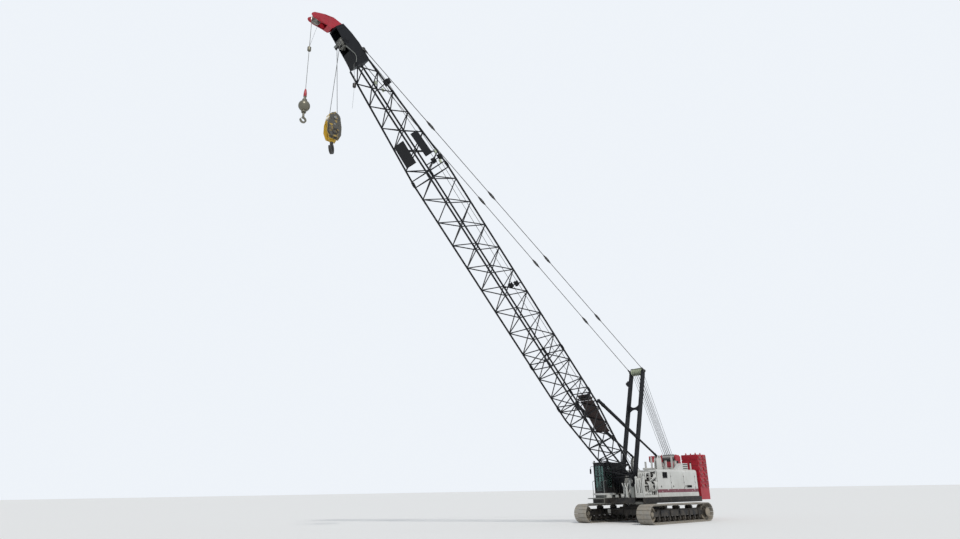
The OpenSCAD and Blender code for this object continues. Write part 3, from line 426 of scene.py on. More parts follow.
def build_weathering():
    """Paint or steel with tone changes, rain streaks, settled dust and chips."""
    tree, entry, leave = new_group(
        "Weathered finish",
        [
            ("Place", "NodeSocketVector", None),
            ("Facing up", "NodeSocketFloat", 0.0),
            ("Finish", "NodeSocketColor", None),
            ("Dust", "NodeSocketColor", None),
            ("Grime", "NodeSocketColor", None),
            ("Bare", "NodeSocketColor", None),
            ("Dust amount", "NodeSocketFloat", 0.3),
            ("Streaks", "NodeSocketFloat", 0.3),
            ("Chips", "NodeSocketFloat", 0.1),
            ("Gloss", "NodeSocketFloat", 0.35),
            ("Low dust", "NodeSocketFloat", 0.5),
        ],
        [
            ("Colour", "NodeSocketColor"),
            ("Roughness", "NodeSocketFloat"),
            ("Height", "NodeSocketFloat"),
            ("Bare mask", "NodeSocketFloat"),
        ],
    )
    place = entry.outputs["Place"]
    broad = noise(tree, place, 0.9, 3)
    fine = noise(tree, place, 22.0, 4)
    tone = ramped(tree, broad, 0.3, 0.7)
    darker = mixed(tree, 1.0, entry.outputs["Finish"], (0.80, 0.80, 0.79, 1), "MULTIPLY")
    base = mixed(tree, tone, darker, entry.outputs["Finish"])
    tall = node(tree, "ShaderNodeVectorMath", {0: place, 1: (3.2, 3.2, 0.35)}, operation="MULTIPLY")
    streak = ramped(tree, noise(tree, tall.outputs[0], 2.1, 6, 0.62), 0.5, 0.74)
    streak = maths(tree, "MULTIPLY", streak, entry.outputs["Streaks"], True)
    base = mixed(tree, streak, base, entry.outputs["Grime"])
    height = coordinate(tree, place, "Z")
    low = maths(tree, "MULTIPLY", ramped(tree, height, 2.6, 0.3), entry.outputs["Low dust"])
    settled = ramped(tree, entry.outputs["Facing up"], 0.3, 0.95)
    cover = maths(tree, "ADD", maths(tree, "MULTIPLY", settled, 0.8), low)
    patch = ramped(tree, noise(tree, place, 3.4, 7, 0.6), 0.34, 0.68)
    cover = maths(tree, "MULTIPLY", maths(tree, "MULTIPLY", cover, patch),
                  entry.outputs["Dust amount"], True)
    base = mixed(tree, cover, base, entry.outputs["Dust"])
    speck = noise(tree, place, 13.0, 8, 0.68)
    edge = maths(tree, "SUBTRACT", 0.80, maths(tree, "MULTIPLY", entry.outputs["Chips"], 0.35))
    chip = ramped(tree, maths(tree, "SUBTRACT", speck, edge), 0.0, 0.02)
    base = mixed(tree, chip, base, entry.outputs["Bare"])
    rough = maths(tree, "ADD", entry.outputs["Gloss"], maths(tree, "MULTIPLY", cover, 0.5))
    rough = maths(tree, "ADD", rough, maths(tree, "MULTIPLY", streak, 0.25), True)
    rough = maths(tree, "ADD", rough, maths(tree, "MULTIPLY", fine, 0.06), True)
    level = maths(tree, "SUBTRACT", maths(tree, "MULTIPLY", fine, 0.35),
                  maths(tree, "MULTIPLY", chip, 0.5))
    tree.links.new(base, leave.inputs["Colour"])
    tree.links.new(rough, leave.inputs["Roughness"])
    tree.links.new(level, leave.inputs["Height"])
    tree.links.new(chip, leave.inputs["Bare mask"])


def shaded(name, metallic=0.0, coat=0.0, specular=0.5):
    """A new material, its tree, its shader and its object coordinates."""
    if name in bpy.data.materials:
        bpy.data.materials[name].name = f"{name}_solid"
    material = bpy.data.materials.new(name)
    material.use_nodes = True
    tree = material.node_tree
    shader = tree.nodes["Principled BSDF"]
    shader.inputs["Metallic"].default_value = metallic
    shader.inputs["Coat Weight"].default_value = coat
    shader.inputs["Specular IOR Level"].default_value = specular
    return tree, shader, node(tree, "ShaderNodeTexCoord")


def bumped(tree, shader, level, strength, depth):
    """Raises a shader's surface by a level."""
    made = node(tree, "ShaderNodeBump", {"Height": level, "Strength": strength, "Distance": depth})
    tree.links.new(made.outputs["Normal"], shader.inputs["Normal"])


def weathered(name, finish_colour, dust, streaks, chips, gloss, low, metallic=0.0, coat=0.0,
              bare=(0.13, 0.09, 0.07, 1), pattern=None, bump=0.25, depth=0.002, specular=0.5):
    """A material from the weathered finish, with an optional pattern laid over it."""
    colours = bpy.context.scene.crane_colours
    tree, shader, coords = shaded(name, metallic, coat, specular)
    paint = finish_colour
    if isinstance(finish_colour, str):
        paint = tuple(getattr(colours, finish_colour))
    group = node(tree, "ShaderNodeGroup", node_tree=bpy.data.node_groups["Weathered finish"])
    up = coordinate(tree, coords.outputs["Normal"], "Z")
    for key, value in {
        "Finish": paint,
        "Dust": tuple(colours.dust),
        "Grime": tuple(colours.grime),
        "Bare": bare,
        "Dust amount": dust,
        "Streaks": streaks,
        "Chips": chips,
        "Gloss": gloss,
        "Low dust": low,
    }.items():
        group.inputs[key].default_value = value
    tree.links.new(coords.outputs["Object"], group.inputs["Place"])
    tree.links.new(up, group.inputs["Facing up"])
    result, level = group.outputs["Colour"], group.outputs["Height"]
    if pattern:
        result, level = pattern(tree, coords.outputs["Object"], result, level)
    tree.links.new(result, shader.inputs["Base Color"])
    tree.links.new(group.outputs["Roughness"], shader.inputs["Roughness"])
    bumped(tree, shader, level, bump, depth)


def striped(tree, place, base, level):
    """The band along the houses, worn through in places."""
    colours = bpy.context.scene.crane_colours
    height = coordinate(tree, place, "Z")
    above, below = (maths(tree, "GREATER_THAN", height, STRIPE_LOW),
                    maths(tree, "LESS_THAN", height, STRIPE_HIGH))
    band = maths(tree, "MULTIPLY", above, below)
    worn = ramped(tree, noise(tree, place, 7.0, 6, 0.6), 0.30, 0.42)
    band = maths(tree, "MULTIPLY", band, worn)
    return mixed(tree, band, base, tuple(colours.stripe)), level


def red_ends(tree, place, base, level):
    """Red flanges at the ends of a drum whose middle is wound with rope."""
    colours = bpy.context.scene.crane_colours
    across = maths(tree, "ABSOLUTE", coordinate(tree, place, "Y"))
    flange_y = 0.87
    outer = maths(tree, "GREATER_THAN", across, flange_y)
    return mixed(tree, outer, base, tuple(colours.red_paint)), level


def tread(tree, place, base, level):
    """Raised diamonds of tread plate."""
    turned = node(
        tree, "ShaderNodeMapping", {"Vector": place, "Rotation": (0, 0, math.radians(45))}
    )
    dots = node(
        tree, "ShaderNodeTexVoronoi",
        {"Vector": turned.outputs[0], "Scale": 22.0, "Randomness": 0.0},
    ).outputs["Distance"]
    raised = ramped(tree, dots, 0.36, 0.22)
    return mixed(tree, maths(tree, "MULTIPLY", raised, 0.35), base, (0.42, 0.42, 0.40, 1)), raised


def laid(tree, place, base, level):
    """The strands of a wire rope, as slanting bands."""
    bands = node(
        tree,
        "ShaderNodeTexWave",
        {"Vector": place, "Scale": 16.0, "Distortion": 0.6, "Detail": 1.0},
        wave_type="BANDS",
        bands_direction="DIAGONAL",
    ).outputs["Fac"]
    return mixed(tree, maths(tree, "MULTIPLY", bands, 0.45), base, (0.34, 0.34, 0.33, 1)), bands


def greasy_faces(tree, place, base, level):
    """Grey grease over the broad side faces of the hook block."""
    across = maths(tree, "ABSOLUTE", coordinate(tree, place, "Y"))
    patch = ramped(tree, noise(tree, place, 5.0, 6, 0.6), 0.30, 0.46)
    cheek_y = 0.183
    cover = maths(tree, "MULTIPLY", maths(tree, "GREATER_THAN", across, cheek_y), patch)
    return mixed(tree, cover, base, (0.075, 0.072, 0.062, 1)), level


def expanded(tree, place, base, level):
    """The diamond holes of expanded metal."""
    cells = node(
        tree, "ShaderNodeTexVoronoi", {"Vector": place, "Scale": 16.0, "Randomness": 0.15}
    ).outputs["Distance"]
    hole = ramped(tree, cells, 0.52, 0.30)
    return mixed(tree, maths(tree, "MULTIPLY", hole, 0.7), base, (0.006, 0.006, 0.007, 1)), cells


def build_finishes():
    """Makes every material that the crane's pieces use."""
    build_weathering()
    rust = (0.17, 0.075, 0.035, 1)
    weathered("black_paint", "black_paint", 0.30, 0.12, 0.08, 0.42, low=0.7,
              bare=(0.12, 0.10, 0.09, 1), specular=0.3)
    weathered("boom_paint", "black_paint", 0.08, 0.05, 0.08, 0.42, low=0.1,
              bare=(0.10, 0.07, 0.05, 1), specular=0.22)
    weathered("white_paint", "white_paint", 0.35, 0.22, 0.10, 0.38, coat=0.15, low=0.7, bare=rust)
    weathered("house_paint", "white_paint", 0.26, 0.14, 0.03, 0.34, coat=0.2, low=0.4, bare=rust,
              pattern=striped)
    weathered("red_paint", "red_paint", 0.22, 0.22, 0.20, 0.36, coat=0.2, low=0.5,
              bare=(0.30, 0.20, 0.18, 1))
    weathered("yellow_paint", "yellow_paint", 0.15, 0.40, 0.30, 0.40, coat=0.1, low=0.0,
              bare=(0.08, 0.06, 0.045, 1), pattern=greasy_faces)
    weathered("track_steel", "track_steel", 0.55, 0.3, 0.30, 0.62, metallic=0.2, low=1.0,
              bare=(0.36, 0.34, 0.31, 1), bump=0.6, depth=0.006)
    weathered("dark_steel", "dark_steel", 0.35, 0.25, 0.2, 0.42, metallic=0.35, low=0.8,
              bare=(0.2, 0.18, 0.16, 1))
    weathered("wheel_steel", (0.30, 0.27, 0.22, 1), 0.7, 0.5, 0.2, 0.55, metallic=0.2, low=1.0,
              bare=(0.42, 0.40, 0.37, 1), bump=0.5, depth=0.005)
    weathered("bare_steel", "bare_steel", 0.2, 0.55, 0.15, 0.34, metallic=0.75, low=0.1,
              bare=(0.5, 0.5, 0.48, 1))
    weathered("sheave_steel", (0.46, 0.46, 0.43, 1), 0.15, 0.4, 0.1, 0.33, metallic=0.6, low=0.0,
              bare=(0.6, 0.6, 0.57, 1))
    weathered("pale_green", "pale_green", 0.2, 0.5, 0.15, 0.45, low=0.0, bare=(0.3, 0.3, 0.28, 1))
    weathered("rope_steel", "rope_steel", 0.1, 0.3, 0.05, 0.45, metallic=0.55, low=0.0,
              pattern=laid, bare=(0.3, 0.3, 0.29, 1), bump=0.7, depth=0.003)
    weathered("drum_rope", "dark_steel", 0.2, 0.2, 0.02, 0.5, metallic=0.4, low=0.0,
              pattern=red_ends, bare=(0.2, 0.2, 0.2, 1), bump=0.5, depth=0.002)
    weathered("platform_grey", "platform_grey", 0.6, 0.4, 0.1, 0.5, low=0.6, pattern=tread,
              bare=rust, bump=0.6, depth=0.004)
    weathered("tank_grey", "platform_grey", 0.35, 0.5, 0.1, 0.42, low=0.6, bare=rust)
    # The grating's dark brown is partly painted shade, darkened for the shade on the boom walkway.
    weathered("grating", "grating", 0.2, 0.2, 0.3, 0.6, low=0.0, bare=rust, pattern=expanded,
              bump=0.9, depth=0.006, specular=0.3)
    weathered("ball_steel", (0.20, 0.19, 0.145, 1), 0.1, 0.45, 0.15, 0.30, metallic=0.45, low=0.0,
              bare=(0.32, 0.31, 0.26, 1))
    weathered("rubber", "rubber", 0.3, 0.1, 0.0, 0.6, low=0.3, bump=0.4, depth=0.001, specular=0.3)
    build_glass()
    build_cloth()
    build_lens()


def build_glass():
    """Tinted safety glass with a patchy film of dust."""
    colours = bpy.context.scene.crane_colours
    tree, shader, coords = shaded("tinted_glass")
    shader.inputs["Transmission Weight"].default_value = 0.92
    shader.inputs["IOR"].default_value = 1.46
    film = ramped(tree, noise(tree, coords.outputs["Object"], 2.4, 6), 0.42, 0.8)
    dirty = mixed(tree, maths(tree, "MULTIPLY", film, 0.2), tuple(colours.glass),
                  (0.20, 0.24, 0.22, 1))
    tree.links.new(dirty, shader.inputs["Base Color"])
    tree.links.new(maths(tree, "ADD", 0.03, maths(tree, "MULTIPLY", film, 0.12)),
                   shader.inputs["Roughness"])


def build_cloth():
    """Woven seat cloth."""
    colours = bpy.context.scene.crane_colours
    tree, shader, coords = shaded("seat_cloth")
    shader.inputs["Sheen Weight"].default_value = 0.3
    weave = node(
        tree, "ShaderNodeTexChecker", {"Vector": coords.outputs["Object"], "Scale": 260.0}
    ).outputs["Fac"]
    base = mixed(tree, maths(tree, "MULTIPLY", weave, 0.5), tuple(colours.cloth),
                 (0.075, 0.075, 0.08, 1))
    tree.links.new(base, shader.inputs["Base Color"])
    worn = noise(tree, coords.outputs["Object"], 6.0, 4)
    tree.links.new(maths(tree, "ADD", 0.7, maths(tree, "MULTIPLY", worn, 0.2)),
                   shader.inputs["Roughness"])
    bumped(tree, shader, weave, 0.4, 0.001)


def build_lens():
    """Ribbed lamp lens."""
    colours = bpy.context.scene.crane_colours
    tree, shader, coords = shaded("lens")
    shader.inputs["Transmission Weight"].default_value = 0.3
    ribs = node(
        tree, "ShaderNodeTexWave", {"Vector": coords.outputs["Object"], "Scale": 30.0},
        bands_direction="Y"
    ).outputs["Fac"]
    base = mixed(tree, maths(tree, "MULTIPLY", ribs, 0.3), tuple(colours.lens),
                 (0.45, 0.46, 0.45, 1))
    tree.links.new(base, shader.inputs["Base Color"])
    tree.links.new(maths(tree, "ADD", 0.08, maths(tree, "MULTIPLY", ribs, 0.1)),
                   shader.inputs["Roughness"])
    bumped(tree, shader, ribs, 0.5, 0.002)


NODE_FINISH = {
    "black_paint": (
        "carbody", "crawler_frames", "deck", "deck_rails", "boom_brackets", "drum_frame",
        "cab_shell", "cab_door", "house_grilles",
    ),
    "boom_paint": (
        "mast_frame", "backstop_rods", "backstop_tubes", "boom_base", "boom_insert_short",
        "boom_insert_long", "boom_top", "boom_head", "boom_signs",
    ),
    "house_paint": ("house_left", "house_right"),
    "white_paint": ("pump_rack", "gantry", "cab_base", "backstop_brackets"),
    "red_paint": ("counterweight_tray", "counterweight_towers", "tip_extension"),
    "yellow_paint": ("block_body",),
    "track_steel": ("track_left", "track_right"),
    "dark_steel": ("track_rollers", "engine", "main_hook", "valve_blocks"),
    "ball_steel": ("hook_ball",),
    "wheel_steel": ("idler_wheels", "drive_wheels"),
    "bare_steel": ("swing_ring", "bail_sheaves"),
    "sheave_steel": ("head_sheaves", "tip_sheave", "block_sheaves"),
    "rope_steel": ("main_falls", "ball_line", "pendants"),
    "pale_green": ("mast_sheaves",),
    "drum_rope": ("front_drum", "rear_drum", "boom_hoist_drum"),
    "platform_grey": ("cab_platform",),
    "tank_grey": ("oil_tank",),
    "grating": ("boom_walkway",),
    "tinted_glass": ("cab_glass", "cab_door_glass"),
    "seat_cloth": ("cab_seat",),
}


class CRANE_OT_finishes(bpy.types.Operator):
    """Makes the finishes and puts them on the crane's solids"""

    bl_idname = "crane.finishes"
    bl_label = "Finishes"

    def execute(self, context):
        build_finishes()
        for material, names in NODE_FINISH.items():
            for name in names:
                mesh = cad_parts[name].data
                mesh.materials.clear()
                mesh.materials.append(bpy.data.materials[material])
        return {"FINISHED"}


# Lower works


class CRANE_OT_tracks(bpy.types.Operator):
    """Lays the track shoes with their links, pins and bolts round each crawler"""

    bl_idname = "crane.tracks"
    bl_label = "Tracks"

    run_shoes: bpy.props.IntProperty(name="Shoes along a run",
                                     description="Shoes on one straight run", default=23)
    end_shoes: bpy.props.IntProperty(name="Shoes round an end", description="Shoes round one end",
                                     default=7)

    def execute(self, context):
        bevel = context.scene.crane_sizes.shoe_bevel
        end_radius, half_width, gap = WHEEL_Z, 0.457, 0.012
        half = math.pi * end_radius / self.end_shoes / 2 - gap
        bm = bmesh.new()
        box(bm, (-half, -half_width, -0.05), (half, half_width, -0.009), bevel)
        for side in SIDES:
            for y in (0.125, 0.345):
                box(bm, (-half + 0.03, side * y - 0.095, -0.015),
                    (half - 0.03, side * y + 0.095, 0), 0.006)
            box(bm, (-0.116, side * 0.09, -0.108), (0.1, side * 0.165, -0.045))
            for x in (-0.06, 0.06):
                rod(bm, (x, side * 0.22, -0.056), (x, side * 0.22, -0.045), 0.016, 6)
        rod(bm, (-0.112, -0.17, -0.08), (-0.112, 0.17, -0.08), 0.024, 8)
        shoe = sealed(bm)
        for name, side in (("track_shoes_left", 1), ("track_shoes_right", -1)):
            bm = bmesh.new()
            centre = Matrix.Translation((0, side * CRAWLER_Y, end_radius))
            for turn in (0, math.pi):
                half_loop = centre @ Matrix.Rotation(turn, 4, "Y")
                for i in range(self.run_shoes):
                    x = i * 2 * WHEEL_X / self.run_shoes - WHEEL_X
                    stamp(bm, shoe, half_loop @ Matrix.Translation((x, 0, end_radius)))
                for i in range(self.end_shoes):
                    bend = Matrix.Rotation(math.pi * i / self.end_shoes, 4, "Y")
                    place = half_loop @ Matrix.Translation((WHEEL_X, 0, 0)) @ bend
                    stamp(bm, shoe, place @ Matrix.Translation((0, 0, end_radius)))
            node_name = "track_left" if side > 0 else "track_right"
            finish(name, bm, "track_steel", "lower", replaces=(node_name,))
        return {"FINISHED"}


class CRANE_OT_crawler_fittings(bpy.types.Operator):
    """Adds roller caps, hub caps, drive covers, ribs and travel hoses to the crawlers"""

    bl_idname = "crane.crawler_fittings"
    bl_label = "Crawler fittings"

    def execute(self, context):
        caps, rollers, ribs, hoses = (bmesh.new() for _ in range(4))
        roller_cap = lathe([(0, 0.03), (0.045, 0.03), (0.062, 0.016), (0.064, 0), (0, 0)], 14)
        hub_cap = lathe([(0, 0.035), (0.07, 0.035), (0.09, 0.018), (0.13, 0.018), (0.132, 0),
                         (0, 0)], 20)
        cover = lathe(
            [(0, 0.05), (0.10, 0.05), (0.13, 0.035), (0.165, 0.03), (0.175, 0.016), (0.24, 0.016),
             (0.243, 0), (0, 0)], 32
        )
        radius = context.scene.crane_sizes.hose_radius
        for side in SIDES:
            middle = side * CRAWLER_Y
            for face in SIDES:
                y = middle + face * 0.22
                for x in spread((-2.035, 0, 0), (2.035, 0, 0), 9):
                    stamp(rollers, roller_cap, lying(x.x, y, 0.25, face))
                stamp(caps, hub_cap, lying(WHEEL_X, y, WHEEL_Z, face))
                bolted(caps, round_points((WHEEL_X, y + face * 0.018, WHEEL_Z), 0.11, 6),
                       (0, face, 0), 0.012)
                for x in (-1.9, -0.95, 0.0, 0.95, 1.9):
                    box(ribs, (x - 0.012, y, 0.42), (x + 0.012, y + face * 0.045, 0.75))
                box(ribs, (-2.2, y, 0.735), (2.2, y + face * 0.05, 0.755), 0.004)
            outer = middle + side * 0.37
            stamp(caps, cover, lying(-WHEEL_X, outer, WHEEL_Z, side))
            bolted(caps, round_points((-WHEEL_X, outer + side * 0.016, WHEEL_Z), 0.208, 12),
                   (0, side, 0), 0.014)
            for lift in (0.0, 0.06):
                hose(
                    hoses, (-1.0, side * (0.75 + lift), 0.62), (-0.5, 0, 0.0),
                    (-2.55, side * 2.04, 0.56 + lift), (0.1, -side * 0.45, 0.05), radius,
                )
        finish("crawler_caps", caps, "wheel_steel", "lower")
        finish("roller_caps", rollers, "dark_steel", "lower")
        finish("crawler_ribs", ribs, "black_paint", "lower")
        finish("travel_hoses", hoses, "rubber", "lower")
        return {"FINISHED"}


class CRANE_OT_carbody_fittings(bpy.types.Operator):
    """Adds the swing bearing's bolts, covers, ribs, steps and a white plate to the carbody"""

    bl_idname = "crane.carbody_fittings"
    bl_label = "Carbody fittings"

    def execute(self, context):
        dark, bolts, white = bmesh.new(), bmesh.new(), bmesh.new()
        face_x, bearing_top, bearing_radius = 1.15, 1.0, 0.85
        ring = round_points((0, 0, bearing_top), bearing_radius, 40, "Z")
        bolted(bolts, ring, (0, 0, 1), 0.016)
        for front in SIDES:
            box(dark, (front * face_x, -0.32, 0.47), (front * 1.166, 0.32, 0.70), 0.004)
            corners = [(front * 1.166, y, z) for y in (-0.28, 0, 0.28) for z in (0.50, 0.67)]
            bolted(bolts, corners, (front, 0, 0), 0.014)
            for side in SIDES:
                for y in (0.62, 1.05, 1.5, 1.9):
                    box(dark, (front * face_x, side * y - 0.012, 0.44),
                        (front * 1.2, side * y + 0.012, 0.73))
                for z in (0.5, 0.66):
                    reach = front * 1.27
                    rope(
                        dark,
                        [(front * face_x, side * 1.18, z), (reach - front * 0.03, side * 1.18, z),
                         (reach, side * 1.21, z), (reach, side * 1.37, z),
                         (reach - front * 0.03, side * 1.4, z), (front * face_x, side * 1.4, z)],
                        0.013,
                    )
        box(white, (1.201, -1.76, 0.5), (1.215, -1.53, 0.73), 0.004)
        bolted(white, [(1.215, y, z) for y in (-1.73, -1.56) for z in (0.53, 0.70)], (1, 0, 0),
               0.01)
        finish("carbody_plates", dark, "black_paint", "lower")
        finish("carbody_bolts", bolts, "dark_steel", "lower")
        finish("beam_plate", white, "white_paint", "lower")
        return {"FINISHED"}


# Upper works


def wall(bm, side, low, high, proud, bevel=0.0):
    """Adds a flat piece that stands proud of a house's outer wall, given by two (x, z) corners."""
    box(bm, (low[0], side * (SIDE_Y - 0.001), low[1]), (high[0], side * (SIDE_Y + proud), high[1]),
        bevel)


class CRANE_OT_house_fittings(bpy.types.Operator):
    """Adds seams, hinges, latches, hatches, eyes, a lower band and the pipe's cap to the houses"""

    bl_idname = "crane.house_fittings"
    bl_label = "House fittings"

    def execute(self, context):
        white, seams, latches = bmesh.new(), bmesh.new(), bmesh.new()
        for side in SIDES:
            wall(white, side, (HOUSE_REAR, 1.40), (HOUSE_FRONT, 1.60), 0.02, 0.005)
            for x in (-0.93, -2.3, -3.55):
                wall(seams, side, (x - 0.006, 1.61), (x + 0.006, 2.77), 0.003)
            for x in (-0.94, -2.31, -3.56):
                for z in (1.9, 2.2, 2.55):
                    rod(latches, (x, side * (SIDE_Y + 0.01), z - 0.045),
                        (x, side * (SIDE_Y + 0.01), z + 0.045), 0.012, 8)
            for x in (0.11, -1.15, -2.48):
                wall(latches, side, (x - 0.035, 1.93), (x + 0.035, 2.03), 0.014, 0.006)
                rod(latches, (x, side * (SIDE_Y + 0.01), 1.98), (x, side * (SIDE_Y + 0.035), 1.98),
                    0.012, 8)
            for x0, x1, z0, z1 in ((-0.60, -0.09, 2.46, 2.80), (-3.15, -2.60, 1.90, 2.04)):
                wall(white, side, (x0 - 0.025, z0 - 0.025), (x1 + 0.025, z0), 0.014, 0.003)
                wall(white, side, (x0 - 0.025, z1), (x1 + 0.025, z1 + 0.02), 0.014, 0.003)
                wall(white, side, (x0 - 0.025, z0), (x0, z1), 0.014, 0.003)
                wall(white, side, (x1, z0), (x1 + 0.025, z1), 0.014, 0.003)
            for x in (-1.35, 0.0):
                box(white, (x - 0.3, side * 0.98, HOUSE_TOP), (x + 0.3, side * 1.3, 2.985), 0.008)
                rope(
                    latches,
                    [(x - 0.06, side * 1.2, 2.98), (x - 0.06, side * 1.2, 3.02),
                     (x + 0.06, side * 1.2, 3.02), (x + 0.06, side * 1.2, 2.98)],
                    0.008, 6,
                )
            for x in (-3.7, -1.9, 0.3):
                eye = lathe([(0.02, -0.01), (0.04, -0.01), (0.04, 0.01), (0.02, 0.01)], 16, True)
                stamp(white, eye, lying(x, side * 0.86, 2.985, -1))
            for z in (1.62, 2.4):
                box(latches, (HOUSE_FRONT, side * 1.05 - 0.04, z),
                    (HOUSE_FRONT + 0.012, side * 1.05 + 0.04, z + 0.12),
                    0.004)
            box(white, (HOUSE_FRONT - 0.001, side * 0.7, 1.5),
                (HOUSE_FRONT + 0.014, side * 1.44, 2.7), 0.005)
        rod(latches, (-3.65, 1.25, 3.355), (-3.65, 1.25, 3.385), 0.05, 16)
        cap = lathe([(0, 0.014), (0.054, 0.006), (0.058, 0), (0, 0.002)], 20)
        tilt = Matrix.Rotation(math.radians(-20), 4, "Y")
        stamp(latches, cap, Matrix.Translation((-3.66, 1.25, 3.40)) @ tilt)
        for z in (3.0, 3.12, 3.24):
            box(latches, (-3.1, 1.368, z), (-2.6, 1.380, z + 0.05), 0.003)
        finish("house_trim", white, "white_paint", "upper")
        finish("house_seams", seams, "rubber", "upper")
        finish("house_latches", latches, "dark_steel", "upper")
        return {"FINISHED"}


class CRANE_OT_pump_piping(bpy.types.Operator):
    """Pipes and hoses between the pumps, the valve blocks and the house on the pump rack"""

    bl_idname = "crane.pump_piping"
    bl_label = "Pump piping"

    def execute(self, context):
        pale, dark, metal = bmesh.new(), bmesh.new(), bmesh.new()
        radius = context.scene.crane_sizes.hose_radius
        face_y, post_y, front_top, rear_top = 1.49, 1.44, 2.38, 2.42
        filter_can = lathe(
            [(0, 0.46), (0.03, 0.46), (0.03, 0.43), (0.075, 0.42), (0.08, 0.40), (0.08, 0.34),
             (0.068, 0.335), (0.068, 0.03), (0.055, 0), (0, 0)], 20
        )
        for y in (0.93, 1.05, 1.17, 1.30, 1.43):
            hose(pale, (1.12, y, 2.74), (0.34, 0, 0.06), (1.5, y, front_top), (0, 0, 0.26),
                 radius * 1.7)
        for x in (1.15, 1.36, 1.57):
            box(pale, (x, 1.36, 1.53), (x + 0.18, 1.50, 1.72), 0.012)
        for i, y in enumerate((0.92, 1.03, 1.14, 1.26, 1.39)):
            hose(pale, (1.46, y, 2.34), (0.30, 0, 0.24), (1.80 - 0.03 * (i % 2), y, 1.54),
                 (0.02, 0, 0.48), radius * 1.8)
        box(pale, (1.70, 0.90, 1.50), (1.83, post_y, 1.64), 0.012)
        for x, y in ((1.72, 0.9), (1.74, post_y)):
            stamp(pale, filter_can, Matrix.Translation((x, y, 2.12)))
        for i, x in enumerate((0.66, 0.75, 0.84, 0.92)):
            hose(pale, (x, face_y, 2.27), (0, 0.16, 0.0), (x + 0.08 * (i % 2) - 0.02, post_y, 1.74),
                 (0, 0.18 + 0.03 * i, 0.0), radius * 1.35)
        for i, x in enumerate((1.26, 1.36, 1.46, 1.54)):
            hose(pale, (x, face_y, 2.25), (0.02, 0.2, -0.02 * i), (x - 0.05, post_y, 1.72),
                 (0, 0.2, 0.0), radius * 1.3)
        for i, x in enumerate((0.70, 0.80, 0.88)):
            hose(pale, (x, face_y, 2.68), (0, 0.15, 0), (x + 0.42, face_y, 2.25),
                 (0.05, 0.22 + 0.03 * i, 0.12), radius * 1.2)
        for i, y in enumerate((0.95, 1.06, 1.17, 1.28, 1.38)):
            hose(dark, (0.46, y, 2.62 - 0.05 * i), (0.14, 0, 0.02), (0.70, y, rear_top),
                 (-0.02, 0, 0.22), radius)
            hose(dark, (0.46, y, 1.78), (0.12, 0, 0.04), (0.74, y, 2.12), (0, 0, -0.22), radius)
            hose(pale, (1.24 + 0.07 * i, y, front_top), (0, 0, 0.34), (0.9, y, 2.7 - 0.02 * i),
                 (0.26, 0, 0.05), radius * 1.1)
        for i, y in enumerate((0.98, 1.12, 1.26)):
            hose(dark, (1.56, y, 2.3), (0.22, 0, 0.02), (1.72 - 0.02 * i, y, 1.56), (0.12, 0, 0.2),
                 radius * 0.9)
            hose(dark, (1.17, y, 1.87), (0, 0, 0.16), (1.6, y, 1.87), (0, 0, 0.18), radius)
            hose(dark, (0.74, y, 1.87), (0, 0, 0.12), (1.1, y, 2.04), (-0.02, 0, -0.12), radius)
        for x in (0.66, 0.76, 0.86, 1.28, 1.38, 1.48):
            top = rear_top if x < 1 else front_top
            for y in (1.0, 1.15, 1.3):
                box(metal, (x - 0.03, y - 0.045, top), (x + 0.03, y + 0.045, top + 0.07), 0.006)
                rod(metal, (x, y, top + 0.07), (x, y, top + 0.10), 0.018, 8)
        for x, z in ((0.62, 1.56), (1.05, 1.56), (1.48, 1.56)):
            for y in (1.36, post_y):
                rod(metal, (x + 0.12, y, z + 0.02), (x + 0.12, y, z + 0.14), 0.03, 8)
        for x in (0.7, 0.9, 1.1, 1.3, 1.5, 1.7):
            rope(pale, [(x, 1.40, 1.53), (x, post_y, 1.58), (x, 1.45, 1.7), (x, 1.45, 2.02)],
                 radius * 1.2)
            rod(metal, (x, 1.45, 1.98), (x, 1.45, 2.04), 0.04, 6)
        for z in (2.5, 2.86):
            rope(pale, [(0.55, 1.52, z), (0.75, 1.53, z), (0.9, 1.52, z - 0.03),
                        (1.14, 1.52, z - 0.03)], radius * 1.1)
        for point in ((0.78, post_y, 2.27), (1.39, post_y, 2.25), (0.78, post_y, 2.68)):
            gauge = lathe([(0, 0.03), (0.035, 0.03), (0.04, 0.025), (0.04, 0), (0, 0)], 14)
            stamp(metal, gauge, lying(*point, 1) @ Matrix.Translation((0.0, -0.09, 0.03)))
        finish("pump_pipes", pale, "white_paint", "upper", 50)
        finish("pump_hoses", dark, "rubber", "upper", 50)
        finish("pump_valves", metal, "dark_steel", "upper")
        return {"FINISHED"}


